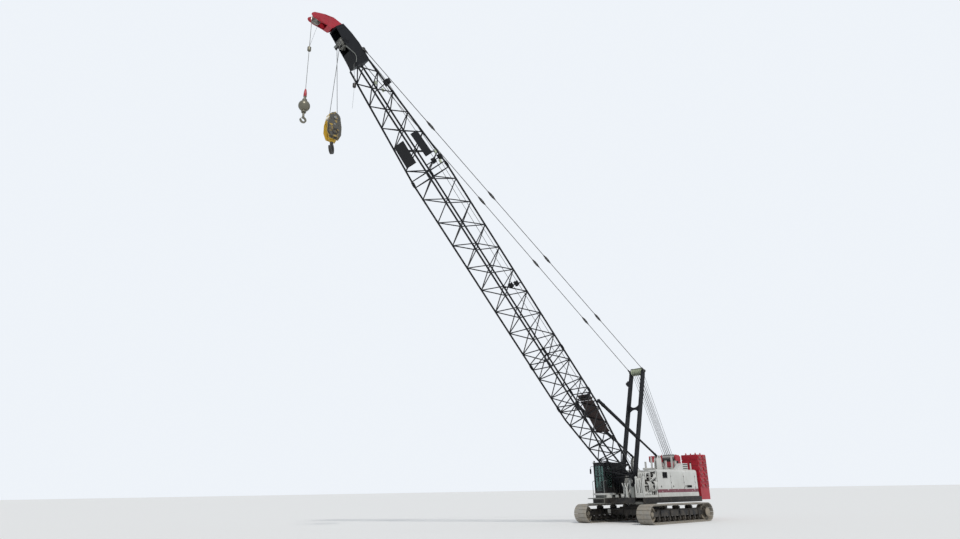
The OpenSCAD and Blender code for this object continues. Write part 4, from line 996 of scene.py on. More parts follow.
class CRANE_OT_deck_fittings(bpy.types.Operator):
    """Adds the castings at the deck's front, winch gearboxes, rail bolts and the red guard"""

    bl_idname = "crane.deck_fittings"
    bl_label = "Deck fittings"

    def execute(self, context):
        white, dark, red = bmesh.new(), bmesh.new(), bmesh.new()
        knob = lathe([(0, 0.035), (0.022, 0.03), (0.035, 0.01), (0.035, -0.01), (0.022, -0.03),
                      (0, -0.035)], 12)
        for y, foot in ((-0.04, 1.66), (0.27, 1.84)):
            box(white, (foot - 0.05, y - 0.05, DECK_TOP), (foot + 0.05, y + 0.05, 1.90), 0.008)
            box(white, (foot - 0.09, y - 0.09, DECK_TOP), (foot + 0.05, y + 0.09, 1.43), 0.004)
            for side in SIDES:
                end = (foot, y + side * 0.12, 2.18)
                rod(white, (foot, y, 1.86), end, 0.032, 10)
                stamp(white, knob, Matrix.Translation(end))
        rod(white, (1.66, -0.04, 1.70), (1.84, 0.27, 1.70), 0.03)
        rod(white, (1.80, 0.20, DECK_TOP), (1.60, 0.33, 1.86), 0.028, 10)
        box(white, (1.36, 0.16, DECK_TOP), (1.46, 0.32, 2.2), 0.008)
        dome = lathe([(0, 0.13), (0.07, 0.11), (0.10, 0.05), (0.10, -0.08), (0.08, -0.1),
                      (0, -0.1)], 20)
        stamp(white, dome, Matrix.Translation((1.41, 0.235, 2.27)))
        # This ball on its post is white paint, and its white is partly a painted highlight on a pin
        # end.
        ball = lathe([(0, 0.062), (0.035, 0.052), (0.056, 0.028), (0.062, 0), (0.056, -0.028),
                      (0.035, -0.052), (0, -0.062)], 16)
        stamp(white, ball, Matrix.Translation((1.89, 0, 1.50)))
        rod(white, (1.89, 0, DECK_TOP), (1.89, 0, 1.46), 0.022, 10)
        gearbox = lathe([(0, 0.16), (0.12, 0.16), (0.14, 0.14), (0.16, 0.08), (0.23, 0.07),
                         (0.26, 0.05), (0.26, 0), (0, 0)], 28)
        for x in WINCHES_X:
            for side in SIDES:
                stamp(dark, gearbox, lying(x, side * 0.35, WINCH_Z, side))
                bolted(dark, round_points((x, side * 0.40, WINCH_Z), 0.24, 12), (0, side, 0), 0.012)
        for side in SIDES:
            rail = spread((-4.0, side * SIDE_Y, 1.23), (1.8, side * SIDE_Y, 1.23), 20)
            bolted(dark, rail, (0, side, 0), 0.018)
            box(dark, (-4.13, side * SIDE_Y, 1.34), (1.9, side * 1.512, 1.372), 0.004)
        for i in range(3):
            y = -0.7 + i * 0.42
            box(white, (1.58, y, DECK_TOP), (1.72, y + 0.18, 1.56 + 0.05 * (i % 2)), 0.01)
            hose(dark, (1.65, y + 0.09, 1.55), (0, 0, 0.12), (1.3, y * 0.3, 1.40), (0.1, 0, 0.16),
                 0.02)
        box(red, (-2.44, -0.90, 3.46), (-2.40, 0.05, 3.84), 0.01)
        box(red, (-2.46, -0.46, 3.1), (-2.38, -0.40, 3.50), 0.006)
        for side in SIDES:
            box(red, (-2.90, side * 0.978, 3.50), (-2.46, side * 0.992, 3.86), 0.006)
            bolted(red, round_points((HOIST_DRUM_X, side * 0.992, HOIST_DRUM_Z), 0.12, 6),
                   (0, side, 0), 0.014)
        finish("deck_guides", white, "white_paint", "upper")
        finish("deck_winch_gear", dark, "dark_steel", "upper")
        finish("hoist_drum_guard", red, "red_paint", "upper")
        return {"FINISHED"}


class CRANE_OT_drum_windings(bpy.types.Operator):
    """Winds the hoist ropes on the three drums"""

    bl_idname = "crane.drum_windings"
    bl_label = "Drum windings"

    def execute(self, context):
        for body, (x, z), half, core, height, turns in (
            ("front_drum", (WINCHES_X[0], WINCH_Z), 0.27, 0.228, 0.062, 18),
            ("rear_drum", (WINCHES_X[1], WINCH_Z), 0.27, 0.228, 0.082, 18),
            ("boom_hoist_drum", (HOIST_DRUM_X, HOIST_DRUM_Z), 0.88, 0.148, 0.016, 70),
        ):
            pitch, outer = 2 * half / turns, core + height
            profile = [(core, -half)]
            for i in range(turns):
                start = -half + i * pitch
                profile += [(outer, start + pitch * 0.06),
                            (outer + pitch * 0.42, start + pitch * 0.5)]
            profile += [(outer, half), (core, half)]
            part = lathe(profile, 32, True)
            bm = bmesh.new()
            stamp(bm, part, lying(x, 0, z, 1))
            finish(f"{body}_winding", bm, "rope_steel", body, 60)
        return {"FINISHED"}


class CRANE_OT_gantry_fittings(bpy.types.Operator):
    """Adds pin caps, ribs, foot plates and a cross bar to the gantry and its backstop stands"""

    bl_idname = "crane.gantry_fittings"
    bl_label = "Gantry fittings"

    def execute(self, context):
        white, dark = bmesh.new(), bmesh.new()
        disc = lathe([(0, 0.02), (0.10, 0.02), (0.115, 0), (0, 0)], 20)
        for side in SIDES:
            stamp(dark, disc, lying(BAIL.x, side * 0.48, BAIL.z, side))
            bolted(dark, round_points((BAIL.x, side * 0.5, BAIL.z), 0.075, 4), (0, side, 0), 0.012)
            for edge in SIDES:
                y = side * STAND_Y + edge * 0.092
                face = lathe([(0, 0.016), (0.06, 0.016), (0.07, 0), (0, 0)], 16)
                stamp(dark, face, lying(STAND.x, y, STAND.z, edge))
                bolted(white, [(x, y, 3.02) for x in (-0.9, -0.7, -0.5)], (0, edge, 0), 0.014)
            box(white, (-0.99, side * 0.76, HOUSE_TOP), (-0.36, side * 0.98, 2.985), 0.005)
            for x in (-1.8, -2.2, -2.7):
                box(white, (x - 0.012, side * 0.43 - 0.05, 2.96),
                    (x + 0.012, side * 0.43 + 0.05, 3.14), 0.003)
            for x, top in ((-1.7, 3.49), (-2.37, 3.8)):
                box(white, (x - 0.075, side * 0.75 - 0.075, HOUSE_TOP),
                    (x + 0.075, side * 0.75 + 0.075, 2.985), 0.004)
                box(white, (x - 0.05, side * 0.75 - 0.05, top - 0.02),
                    (x + 0.05, side * 0.75 + 0.05, top + 0.015), 0.005)
        rod(white, (-1.16, -0.4, 3.02), (-1.16, 0.4, 3.02), 0.04)
        finish("gantry_plates", white, "white_paint", "upper")
        finish("gantry_pins", dark, "dark_steel", "upper")
        return {"FINISHED"}


class CRANE_OT_counterweight_fittings(bpy.types.Operator):
    """Adds a bail to each lug, tie bars and lifting eyes to the counterweights"""

    bl_idname = "crane.counterweight_fittings"
    bl_label = "Counterweight fittings"

    def execute(self, context):
        red, dark = bmesh.new(), bmesh.new()
        slabs = 6
        pitch = (TOWER_TOP - TOWER_LOW) / slabs
        for side in SIDES:
            for slab in range(slabs):
                z = TOWER_LOW + (slab + 0.5) * pitch
                for x in (-4.33, -4.82):
                    y = side * 1.56
                    rope(
                        dark,
                        [(x - 0.09, y, z + 0.03), (x - 0.09, y + side * 0.06, z - 0.01),
                         (x - 0.05, y + side * 0.085, z - 0.06),
                         (x + 0.05, y + side * 0.085, z - 0.06),
                         (x + 0.09, y + side * 0.06, z - 0.01), (x + 0.09, y, z + 0.03)],
                        0.014, 6,
                    )
                    bolted(dark, [(x - 0.1, y, z + 0.05), (x + 0.1, y, z + 0.05)], (0, side, 0),
                           0.016)
            for x in (-4.17, -5.09):
                box(red, (x - 0.03, side * SIDE_Y, 1.9), (x + 0.03, side * (SIDE_Y + 0.03), 3.85),
                    0.006)
            for y in (0.58, 1.27):
                eye = plate([(-0.07, 0), (0.07, 0), (0.05, 0.09), (0.02, 0.12), (-0.02, 0.12),
                             (-0.05, 0.09)], 0.03)
                for x in (-4.35, -4.91):
                    stamp(red, eye, Matrix.Translation((x, side * y - 0.015, TOWER_TOP)))
                    box(red, (x - 0.11, side * y - 0.06, 3.899), (x + 0.11, side * y + 0.06, 3.91),
                        0.003)
            bolted(red, [(-4.63 + x, side * 0.925 + y, TOWER_TOP)
                         for x in (-0.12, 0.12) for y in (-0.12, 0.12)], (0, 0, 1))
        finish("counterweight_ties", red, "red_paint", "upper")
        finish("counterweight_bails", dark, "bare_steel", "upper")
        return {"FINISHED"}


# Cab


class CRANE_OT_cab_fittings(bpy.types.Operator):
    """Adds seals, mullions, wiper, mirrors, lamps and rails to the cab, and the controls in it"""

    bl_idname = "crane.cab_fittings"
    bl_label = "Cab fittings"

    def execute(self, context):
        seals, frames, inside, lamps = (bmesh.new() for _ in range(4))
        y_in, y_out, sill, top = -0.95, -1.59, 1.78, 3.25
        inner, outer, door_y = 2.352, 2.378, -1.738
        outline(seals, "X", 2.368, (y_out, sill), (y_in, top), 0.016)
        outline(seals, "X", 0.642, (y_out, 2.28), (y_in, 3.18), 0.016)
        outline(seals, "Y", -0.862, (1.70, 1.98), (2.28, 3.18), 0.016)
        outline(seals, "Y", -1.678, (2.03, 1.98), (2.28, 3.18), 0.014)
        box(frames, (inner, -1.15, sill), (outer, -1.11, top), 0.004)
        box(frames, (inner, y_out, 2.60), (outer, y_in, 2.65), 0.004)
        for y in (y_out - 0.045, y_in + 0.045):
            box(frames, (2.34, y - 0.03, 1.66), (2.382, y + 0.03, 3.40), 0.01)
        for low, high in (((0.60, -1.72), (1.32, -0.82)), ((2.14, -1.72), (2.44, -0.82)),
                          ((1.32, -1.72), (2.14, -1.50)), ((1.32, -1.04), (2.14, -0.82))):
            box(frames, (*low, 3.39), (*high, 3.42), 0.012)
        rope(frames, [(2.39, -1.5, 3.1), (2.405, -1.4, 2.9), (2.40, -1.3, 2.72)], 0.008, 6)
        box(frames, (2.392, -1.42, 2.35), (2.404, -1.405, 3.0), 0)
        for side, y in ((1, -0.84), (-1, -1.70)):
            rope(frames, [(2.36, y, 3.2), (2.50, y + side * 0.05, 3.2),
                          (2.54, y + side * 0.08, 3.1), (2.54, y + side * 0.08, 2.75)], 0.011)
            box(frames, (2.53, y + side * 0.08 - 0.06, 2.78), (2.555, y + side * 0.08 + 0.06, 3.05),
                0.01)
            rope(frames, [(2.25, y, 2.0), (2.25, y + side * 0.05, 2.03),
                          (2.25, y + side * 0.05, 2.85), (2.25, y, 2.88)], 0.012)
        lamp = lathe([(0, 0), (0.05, 0), (0.062, -0.02), (0.062, -0.05), (0.04, -0.075),
                      (0, -0.08)], 18)
        glass = lathe([(0, 0.006), (0.04, 0.004), (0.054, 0), (0, 0)], 18)
        for y in (-1.55, -1.0):
            place = Matrix.Translation((2.46, y, 3.46)) @ Matrix.Rotation(math.radians(96), 4, "Y")
            stamp(frames, lamp, place)
            stamp(lamps, glass, place)
            rod(frames, (2.42, y, 3.40), (2.42, y, 3.44), 0.012, 8)
        box(inside, (2.16, -1.6, 1.71), (2.31, -0.94, 2.0), 0.02)
        box(inside, (2.2, -1.3, 2.0), (2.3, -1.05, 2.35), 0.02)
        box(inside, (2.0, -1.02, 2.2), (2.03, -0.93, 2.45), 0.01)
        for y in (-1.57, -0.97):
            rod(inside, (1.68, y, 2.33), (1.72, y, 2.46), 0.012, 8)
            knob = lathe([(0, 0.09), (0.022, 0.08), (0.028, 0.05), (0.018, 0.0), (0, 0)], 12)
            stamp(inside, knob, Matrix.Translation((1.72, y, 2.45)))
        for y in (-1.4, -1.14):
            box(inside, (2.05, y - 0.05, 1.71), (2.16, y + 0.05, 1.76), 0.008)
        box(inside, (0.72, -1.60, 1.71), (0.95, -0.94, 2.5), 0.02)
        finish("cab_seals", seals, "rubber", "upper")
        finish("cab_frames", frames, "black_paint", "upper")
        finish("cab_controls", inside, "rubber", "upper")
        finish("cab_lamp_lenses", lamps, "lens", "upper")
        seals, frames = bmesh.new(), bmesh.new()
        outline(seals, "Y", -1.740, (1.32, 2.08), (1.90, 3.22), 0.016)
        rope(frames, [(1.36, door_y, 2.0), (1.36, -1.79, 2.03), (1.36, -1.79, 2.38),
                      (1.36, door_y, 2.41)], 0.012)
        box(frames, (1.84, door_y - 0.014, 1.98), (1.92, door_y, 2.06), 0.006)
        rod(frames, (1.88, door_y - 0.014, 2.02), (1.88, -1.765, 2.02), 0.016, 10)
        for z in (1.76, 3.26):
            box(frames, (1.26, door_y - 0.017, z - 0.02), (1.36, door_y, z + 0.02), 0.005)
            box(frames, (1.86, door_y - 0.017, z - 0.02), (1.96, door_y, z + 0.02), 0.005)
        finish("cab_door_seal", seals, "rubber", "cab_door")
        finish("cab_door_handles", frames, "dark_steel", "cab_door")
        return {"FINISHED"}


class CRANE_OT_seat(bpy.types.Operator):
    """Stuffs the operator's seat pads and adds their frame and the armrests"""

    bl_idname = "crane.seat"
    bl_label = "Seat"

    def execute(self, context):
        for name, low, high in (
            ("seat_cushion", (1.235, -1.495, 2.135), (1.715, -1.045, 2.215)),
            ("seat_backrest", (1.235, -1.48, 2.27), (1.315, -1.06, 2.76)),
            ("seat_headrest", (1.165, -1.38, 2.81), (1.235, -1.16, 2.97)),
        ):
            self.pad(context, name, Vector(low), Vector(high))
        bm = bmesh.new()
        for y in (-1.33, -1.21):
            rod(bm, (1.2, y, 2.7), (1.2, y, 2.83), 0.009, 8)
        box(bm, (1.22, -1.50, 2.125), (1.73, -1.04, 2.14), 0.006)
        for side in SIDES:
            y = -1.27 + side * 0.3
            box(bm, (1.27, y - 0.055, 2.33), (1.62, y + 0.055, 2.37), 0.014)
        finish("seat_fittings", bm, "rubber", "upper")
        return {"FINISHED"}

    def pad(self, context, name, low, high):
        """Stuffs one pad between two corners and sews a channel down its middle."""
        frames, pressure, most, channel = 20, 4, 0.014, 0.03
        bm = bmesh.new()
        box(bm, low, high, 0.02)
        obj = new_object(name, bm)
        remesh = obj.modifiers.new("Voxels", "REMESH")
        remesh.mode, remesh.voxel_size = "VOXEL", 0.006
        apply_modifiers(obj)
        before = [v.co.copy() for v in obj.data.vertices]
        cloth = obj.modifiers.new("Cloth", "CLOTH")
        cloth.settings.use_pressure = True
        cloth.settings.uniform_pressure_force = pressure
        cloth.settings.effector_weights.gravity = 0
        cloth.settings.quality = 6
        for step in range(1, frames + 1):
            context.scene.frame_set(step)
        apply_modifiers(obj)
        context.scene.frame_set(1)
        for vert, first in zip(obj.data.vertices, before):
            moved = vert.co - first
            vert.co = first + moved * min(1, most / max(moved.length, 0.0001))
        thin = min(range(3), key=lambda i: (high - low)[i])
        wide = [i for i in range(3) if i != thin]
        for vert in obj.data.vertices:
            for axis in wide:
                spot = (vert.co[axis] - low[axis]) / (high[axis] - low[axis])
                groove = abs(spot - 0.5) if axis == wide[0] else 1
                if groove < channel:
                    middle = (low[thin] + high[thin]) / 2
                    vert.co[thin] += (middle - vert.co[thin]) * 0.25 * (1 - groove / channel)
        smooth = obj.modifiers.new("Smooth", "SUBSURF")
        smooth.levels = smooth.render_levels = 1
        mesh = obj.data
        mesh.materials.append(bpy.data.materials["seat_cloth"])
        mesh.polygons.foreach_set("use_smooth", [True] * len(mesh.polygons))
        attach(obj, "upper")


class CRANE_OT_platform_fittings(bpy.types.Operator):
    """Adds the rail, toe plates and treads to the cab's platform and step"""

    bl_idname = "crane.platform_fittings"
    bl_label = "Platform fittings"

    def execute(self, context):
        grey, dark = bmesh.new(), bmesh.new()
        for i in range(11):
            x = 2.60 + i * 0.041
            box(grey, (x - 0.006, -1.68, 1.372), (x + 0.006, -0.90, 1.392))
            for y in spread((0, -1.66, 0), (0, -0.92, 0), 12):
                box(grey, (x - 0.009, y.y - 0.006, 1.39), (x + 0.009, y.y + 0.006, 1.398))
        for i in range(5):
            x = 2.62 + i * 0.1
            box(grey, (x - 0.02, -1.68, 1.100), (x + 0.02, -0.90, 1.112))
        box(dark, (2.568, -1.70, 1.12), (2.582, -0.88, 1.36), 0.004)
        bolted(dark, [(2.582, y, z) for y in (-1.6, -1.29, -0.98) for z in (1.16, 1.32)], (1, 0, 0),
               0.014)
        rope(grey, [(2.50, -1.70, 1.39), (2.50, -1.71, 1.9), (2.50, -1.71, 2.28),
                    (2.46, -1.71, 2.34), (2.36, -1.71, 2.36), (2.26, -1.69, 2.36)], 0.016, 10)
        rope(grey, [(2.50, -0.88, 1.39), (2.50, -0.87, 1.9), (2.50, -0.87, 2.28),
                    (2.46, -0.86, 2.34), (2.36, -0.85, 2.36), (2.26, -0.86, 2.36)], 0.016, 10)
        for y in (-1.70, -0.86):
            box(dark, (1.92, y, 1.1), (2.55, y + (0.012 if y > -1 else -0.012), 1.37), 0.004)
        finish("platform_treads", grey, "tank_grey", "upper")
        finish("platform_plates", dark, "black_paint", "upper")
        return {"FINISHED"}


# Mast and backstops


class CRANE_OT_mast_fittings(bpy.types.Operator):
    """Adds flanges, shaft nuts, rope guards, a bracket and a cable to the mast"""

    bl_idname = "crane.mast_fittings"
    bl_label = "Mast fittings"

    def execute(self, context):
        dark, bolts = bmesh.new(), bmesh.new()
        ring = 0.245
        nut = lathe([(0, 0.045), (0.06, 0.045), (0.08, 0.03), (0.085, 0), (0, 0)], 16)
        for side in SIDES:
            for edge in SIDES:
                box(dark, (0.55, side * 0.385, edge * 0.136), (7.1, side * 0.509, edge * 0.148),
                    0.003, MAST)
            stamp(bolts, nut, MAST @ lying(MAST_LENGTH, side * 0.572, 0, side))
            angles = [math.radians(degrees) for degrees in range(-80, 81, 20)]
            guard = [MAST @ Vector((MAST_LENGTH + ring * math.cos(a), side * 0.37,
                                    ring * math.sin(a))) for a in angles]
            rope(dark, guard, 0.012)
        for angle in (-60, 0, 60):
            a = math.radians(angle)
            x, z = MAST_LENGTH + 0.25 * math.cos(a), 0.25 * math.sin(a)
            rod(dark, MAST @ Vector((x, -0.38, z)), MAST @ Vector((x, 0.38, z)), 0.014, 8)
        box(dark, (6.28, -0.62, -0.17), (6.62, -0.505, -0.05), 0.01, MAST)
        box(dark, (6.36, -0.70, -0.2), (6.54, -0.62, -0.08), 0.02, MAST)
        rope(dark, [MAST @ Vector(p) for p in (
            (6.4, -0.52, 0.12), (5.5, -0.515, 0.13), (3.0, -0.515, 0.13), (1.0, -0.51, 0.12),
            (0.4, -0.5, 0.1))], 0.011)
        finish("mast_flanges", dark, "boom_paint", "mast")
        finish("mast_bolts", bolts, "dark_steel", "mast")
        return {"FINISHED"}


class CRANE_OT_backstop_fittings(bpy.types.Operator):
    """Adds collars and pins to the backstops"""

    bl_idname = "crane.backstop_fittings"
    bl_label = "Backstop fittings"

    def execute(self, context):
        angle, length = math.radians(29.7457), 6.0765
        tubes, rods = bmesh.new(), bmesh.new()
        collar = lathe([(0.062, 0), (0.10, 0), (0.112, 0.012), (0.112, 0.09), (0.10, 0.11),
                        (0.096, 0.11), (0.062, 0.11)], 28, True)
        pin = lathe([(0, 0.02), (0.035, 0.02), (0.05, 0.008), (0.05, 0), (0, 0)], 16)
        for side in SIDES:
            stand = Matrix.Translation((STAND.x, side * STAND_Y, STAND.z))
            place = stand @ Matrix.Rotation(-angle, 4, "Y")
            lie = Matrix.Rotation(math.radians(90), 4, "Y")
            for s in (2.17, 5.6):
                stamp(tubes, collar, place @ Matrix.Translation((s, 0, 0)) @ lie)
            stamp(tubes, pin, place @ lying(length, side * 0.045, 0, side))
            rod(rods, place @ Vector((0.28, 0, 0)), place @ Vector((0.36, 0, 0)), 0.075, 20)
            rod(rods, place @ Vector((0.08, 0, 0)), place @ Vector((0.28, 0, 0)), 0.07, 20, 0.06)
        finish("backstop_collars", tubes, "boom_paint", "backstop_tubes")
        finish("backstop_ends", rods, "boom_paint", "backstop_rods")
        return {"FINISHED"}


# Boom


def on_boom(s, y, off):
    """A point of the boom, given along it, across it and out of its back."""
    return BOOM @ Vector((s, y, off))


class CRANE_OT_boom_fittings(bpy.types.Operator):
    """Adds section pins, walkway bars, rope guides, cable and sign frames to the boom"""

    bl_idname = "crane.boom_fittings"
    bl_label = "Boom fittings"

    def execute(self, context):
        pins, bars, green, dark = (bmesh.new() for _ in range(4))
        for s in BOOM_JOINTS:
            for y in (CHORD_Y, -CHORD_Y):
                for off in (CHORD_OFF, -CHORD_OFF):
                    rod(pins, on_boom(s, y - 0.075, off), on_boom(s, y + 0.075, off), 0.03)
                    rod(pins, on_boom(s, y - 0.062, off), on_boom(s, y - 0.05, off), 0.055)
                    rod(pins, on_boom(s, y + 0.05, off), on_boom(s, y + 0.062, off), 0.055)
                    for end in SIDES:
                        box(pins, (s + end * 0.115 - 0.055, y - 0.058, off - 0.045),
                            (s + end * 0.115 + 0.055, y + 0.058, off + 0.045), 0.012, BOOM)
        slope = math.atan2(0.65, 5.28)
        sloping = BOOM @ Matrix.Translation((0.42, 0, 0.15)) @ Matrix.Rotation(-slope, 4, "Y")
        for place, s0, s1, top in ((sloping, 3.15, 5.28, 0.061), (BOOM, 5.73, 6.12, 0.861)):
            for y in (-0.45, 0.43):
                box(bars, (s0, y, top - 0.03), (s1, y + 0.02, top + 0.03), 0.003, place)
            count = int((s1 - s0) / 0.12)
            for i in range(count + 1):
                s = s0 + (s1 - s0 - 0.012) * i / count
                box(bars, (s, -0.43, top), (s + 0.012, 0.43, top + 0.014), 0, place)
            for y in (-0.26, -0.09, 0.08, 0.25):
                box(bars, (s0, y, top), (s1, y + 0.01, top + 0.01), 0, place)
        for y in (-0.44, -0.15, 0.15, 0.42):
            rod(bars, sloping @ Vector((5.25, y, 0.05)), on_boom(5.76, y, 0.845), 0.016, 8)
        for f in (0.35, 0.7):
            start = (sloping @ Vector((5.25, 0, 0.05))).lerp(on_boom(5.76, 0, 0.845), f)
            rod(bars, start - Vector((0, 0.44, 0)), start + Vector((0, 0.44, 0)), 0.014, 8)
        for s, y, off in ((TOP_ROLLER_S, 0.45, 0.85), (TOP_ROLLER_S, -0.1, 0.85),
                          (NECK_ROLLER_S, 0.3, 0.72), (NECK_ROLLER_S, 0.12, 0.72),
                          (LOW_ROLLER_S, 0.22, 0.85), (LOW_ROLLER_S, -0.22, 0.85)):
            for edge in SIDES:
                cheek = y + edge * 0.085
                box(dark, (s - 0.14, cheek - 0.008, off - 0.02),
                    (s + 0.14, cheek + 0.008, off + 0.15), 0.01, BOOM)
            rod(green, on_boom(s, y - 0.075, off + 0.1), on_boom(s, y + 0.075, off + 0.1), 0.062,
                16)
            rod(dark, on_boom(s, y - 0.11, off + 0.1), on_boom(s, y + 0.11, off + 0.1), 0.018, 8)
            box(dark, (s - 0.16, y - 0.1, off - 0.035), (s + 0.16, y + 0.1, off - 0.018), 0.004,
                BOOM)
        for s, half, off in ((TOP_ROLLER_S, 0.66, CHORD_OFF), (LOW_ROLLER_S, CHORD_Y, CHORD_OFF),
                             (NECK_ROLLER_S, 0.41, 0.67)):
            rod(dark, on_boom(s, -half, off), on_boom(s, half, off), 0.03, 10)
        for s, y, off in ((22.55, 0.62, 0.62), (22.0, 0.64, 0.55), (26.6, 0.36, 0.05),
                          (27.1, 0.34, -0.1)):
            box(green, (s - 0.09, y - 0.05, off - 0.06), (s + 0.09, y + 0.05, off + 0.06), 0.012,
                BOOM)
            rod(dark, on_boom(s, y, off), on_boom(s + 0.14, y, off), 0.02, 8)
        cable = [on_boom(s, y, off) for s, y, off in (
            (0.9, -0.62, 0.16), (2.5, -0.72, 0.46), (5.7, -0.73, 0.86), (9.5, -0.73, 0.86),
            (15.0, -0.73, 0.86), (21.7, -0.73, 0.86), (24.5, -0.58, 0.68), (28.2, -0.37, 0.46))]
        rope(dark, cable, 0.012, 6)
        for s in (6.9, 8.4, 10.5, 12.5, 14.5, 16.5, 18.5, 20.5):
            rod(dark, on_boom(s, -0.73, 0.86), on_boom(s, -0.70, 0.82), 0.018, 6)
        slide = math.atan2(CHORD_Y - HEAD_Y, 6.56)
        corner = BOOM @ Matrix.Translation((BOOM_JOINTS[-1], 0.7163, 0))
        sign = corner @ Matrix.Rotation(-slide, 4, "Z")
        for low, high in (((0.9, -0.225), (2.3, -0.205)), ((0.9, 0.315), (2.3, 0.335)),
                          ((0.9, -0.225), (0.92, 0.335)), ((2.28, -0.225), (2.3, 0.335))):
            box(dark, (low[0], -0.002, low[1]), (high[0], 0.02, high[1]), 0.003, sign)
        bolted(dark, [sign @ Vector((s, 0.012, off)) for s in (1.0, 1.6, 2.2)
                      for off in (-0.17, 0.28)], sign.to_3x3() @ Vector((0, 1, 0)), 0.012)
        finish("section_pins", pins, "boom_paint", "boom")
        finish("walkway_bars", bars, "grating", "boom")
        finish("rope_guide_rollers", green, "pale_green", "boom")
        finish("boom_fittings", dark, "boom_paint", "boom")
        return {"FINISHED"}


class CRANE_OT_head_fittings(bpy.types.Operator):
    """Adds bosses, stiffeners, a strut, a switch bracket, guards and a lamp to the boom's head"""

    bl_idname = "crane.head_fittings"
    bl_label = "Head fittings"

    def execute(self, context):
        dark, grey, red, lamp = (bmesh.new() for _ in range(4))
        boss = lathe([(0, 0.05), (0.075, 0.05), (0.095, 0.03), (0.10, 0.02), (0.15, 0.015),
                      (0.155, 0), (0, 0)], 24)
        for side in SIDES:
            way = BOOM.to_3x3() @ Vector((0, side, 0))
            stamp(dark, boss, BOOM @ lying(HEAD_PIN_S, side * HEAD_Y, HEAD_PIN_OFF, side))
            bolted(dark, [BOOM @ p for p in
                          round_points((HEAD_PIN_S, side * 0.348, HEAD_PIN_OFF), 0.125, 8)],
                   way, 0.011)
            y0, y1 = sorted((side * HEAD_Y, side * 0.345))
            for (a, b), (c, d) in (((28.3, -0.50), (29.05, -0.40)), ((28.3, 0.40), (29.3, 0.43))):
                bar = plate([(a, b), (c, d), (c, d + 0.035), (a, b + 0.035)], y1 - y0)
                stamp(dark, bar, BOOM @ Matrix.Translation((0, y0, 0)))
            for s in (28.6, 30.2):
                box(dark, (s - 0.01, y0, -0.30), (s + 0.01, y1, 0.22), 0, BOOM)
            bolted(dark, [on_boom(30.34, side * HEAD_Y, off) for off in (-0.25, -0.12, 0.01, 0.14)],
                   way, 0.016)
            bolted(dark, [on_boom(s, side * HEAD_Y, off)
                          for s in (28.36, 28.5) for off in (-0.38, -0.1, 0.15)], way, 0.015)
        guard = 0.325
        for angle in (30, 80, 130):
            a = math.radians(angle)
            s, off = HEAD_PIN_S + guard * math.cos(a), HEAD_PIN_OFF + guard * math.sin(a)
            rod(dark, on_boom(s, -0.305, off), on_boom(s, 0.305, off), 0.014, 8)
        rod(grey, on_boom(29.32, 0.35, -0.46), on_boom(28.79, 0.35, -0.23), 0.026, 10)
        rod(grey, on_boom(29.32, 0.35, -0.46), on_boom(29.32, 0.30, -0.40), 0.02, 8)
        rope(grey, [on_boom(28.79, 0.35, -0.23), on_boom(28.66, 0.35, -0.26),
                    on_boom(28.5, 0.35, -0.38), on_boom(28.41, 0.34, -0.48)], 0.016)
        box(dark, (29.45, 0.0, -0.78), (29.52, 0.05, -0.40), 0.006, BOOM)
        box(dark, (29.42, -0.12, -0.80), (29.62, 0.12, -0.76), 0.006, BOOM)
        box(grey, (29.50, -0.08, -0.84), (29.60, 0.12, -0.80), 0.01, BOOM)
        rod(dark, on_boom(29.48, -0.30, -0.405), on_boom(29.48, 0.30, -0.405), 0.02, 8)
        pin_x, tip_guard = 1.06, 0.265
        tip_foot = BOOM @ Matrix.Translation((30.28, 0, -0.24))
        tip = tip_foot @ Matrix.Rotation(math.radians(40.6), 4, "Y")
        for side in SIDES:
            stamp(red, boss, tip @ lying(pin_x, side * 0.234, 0, side) @ Matrix.Scale(0.8, 4))
            way = tip.to_3x3() @ Vector((0, side, 0))
            bolted(red, [tip @ p for p in round_points((pin_x, side * 0.246, 0), 0.10, 6)], way,
                   0.010)
            y0, y1 = sorted((side * 0.2335, side * 0.246))
            for points in (
                [(0.3, -0.13), (0.93, -0.07), (0.93, -0.04), (0.3, -0.10)],
                [(0.36, 0.48), (0.78, 0.40), (0.78, 0.43), (0.36, 0.51)],
                [(0.52, -0.10), (0.55, -0.10), (0.55, 0.45), (0.52, 0.45)],
            ):
                stamp(red, plate(points, y1 - y0), tip @ Matrix.Translation((0, y0, 0)))
            bolted(red, [tip @ Vector((x, side * 0.234, z)) for x, z in (
                (0.24, 0.0), (0.24, 0.2), (0.24, 0.38), (0.75, 0.18), (1.25, 0.1))], way, 0.014)
        for angle in (100, 150):
            a = math.radians(angle)
            x, z = pin_x + tip_guard * math.cos(a), tip_guard * math.sin(a)
            rod(red, tip @ Vector((x, -0.21, z)), tip @ Vector((x, 0.21, z)), 0.012, 8)
        lamp_foot = on_boom(30.62, -0.29, -0.22)
        rod(dark, on_boom(30.55, -0.22, -0.30), lamp_foot, 0.016, 8)
        stamp(dark, lathe([(0, 0), (0.05, 0), (0.055, 0.03), (0.04, 0.09), (0, 0.10)], 16),
              Matrix.Translation(lamp_foot))
        stamp(lamp, lathe([(0, 0.16), (0.03, 0.155), (0.045, 0.13), (0.045, 0.09), (0, 0.09)], 16),
              Matrix.Translation(lamp_foot))
        finish("head_plates", dark, "boom_paint", "boom")
        finish("head_strut", grey, "tank_grey", "boom")
        finish("tip_plates", red, "red_paint", "boom")
        finish("tip_lamp", lamp, "lens", "boom")
        return {"FINISHED"}


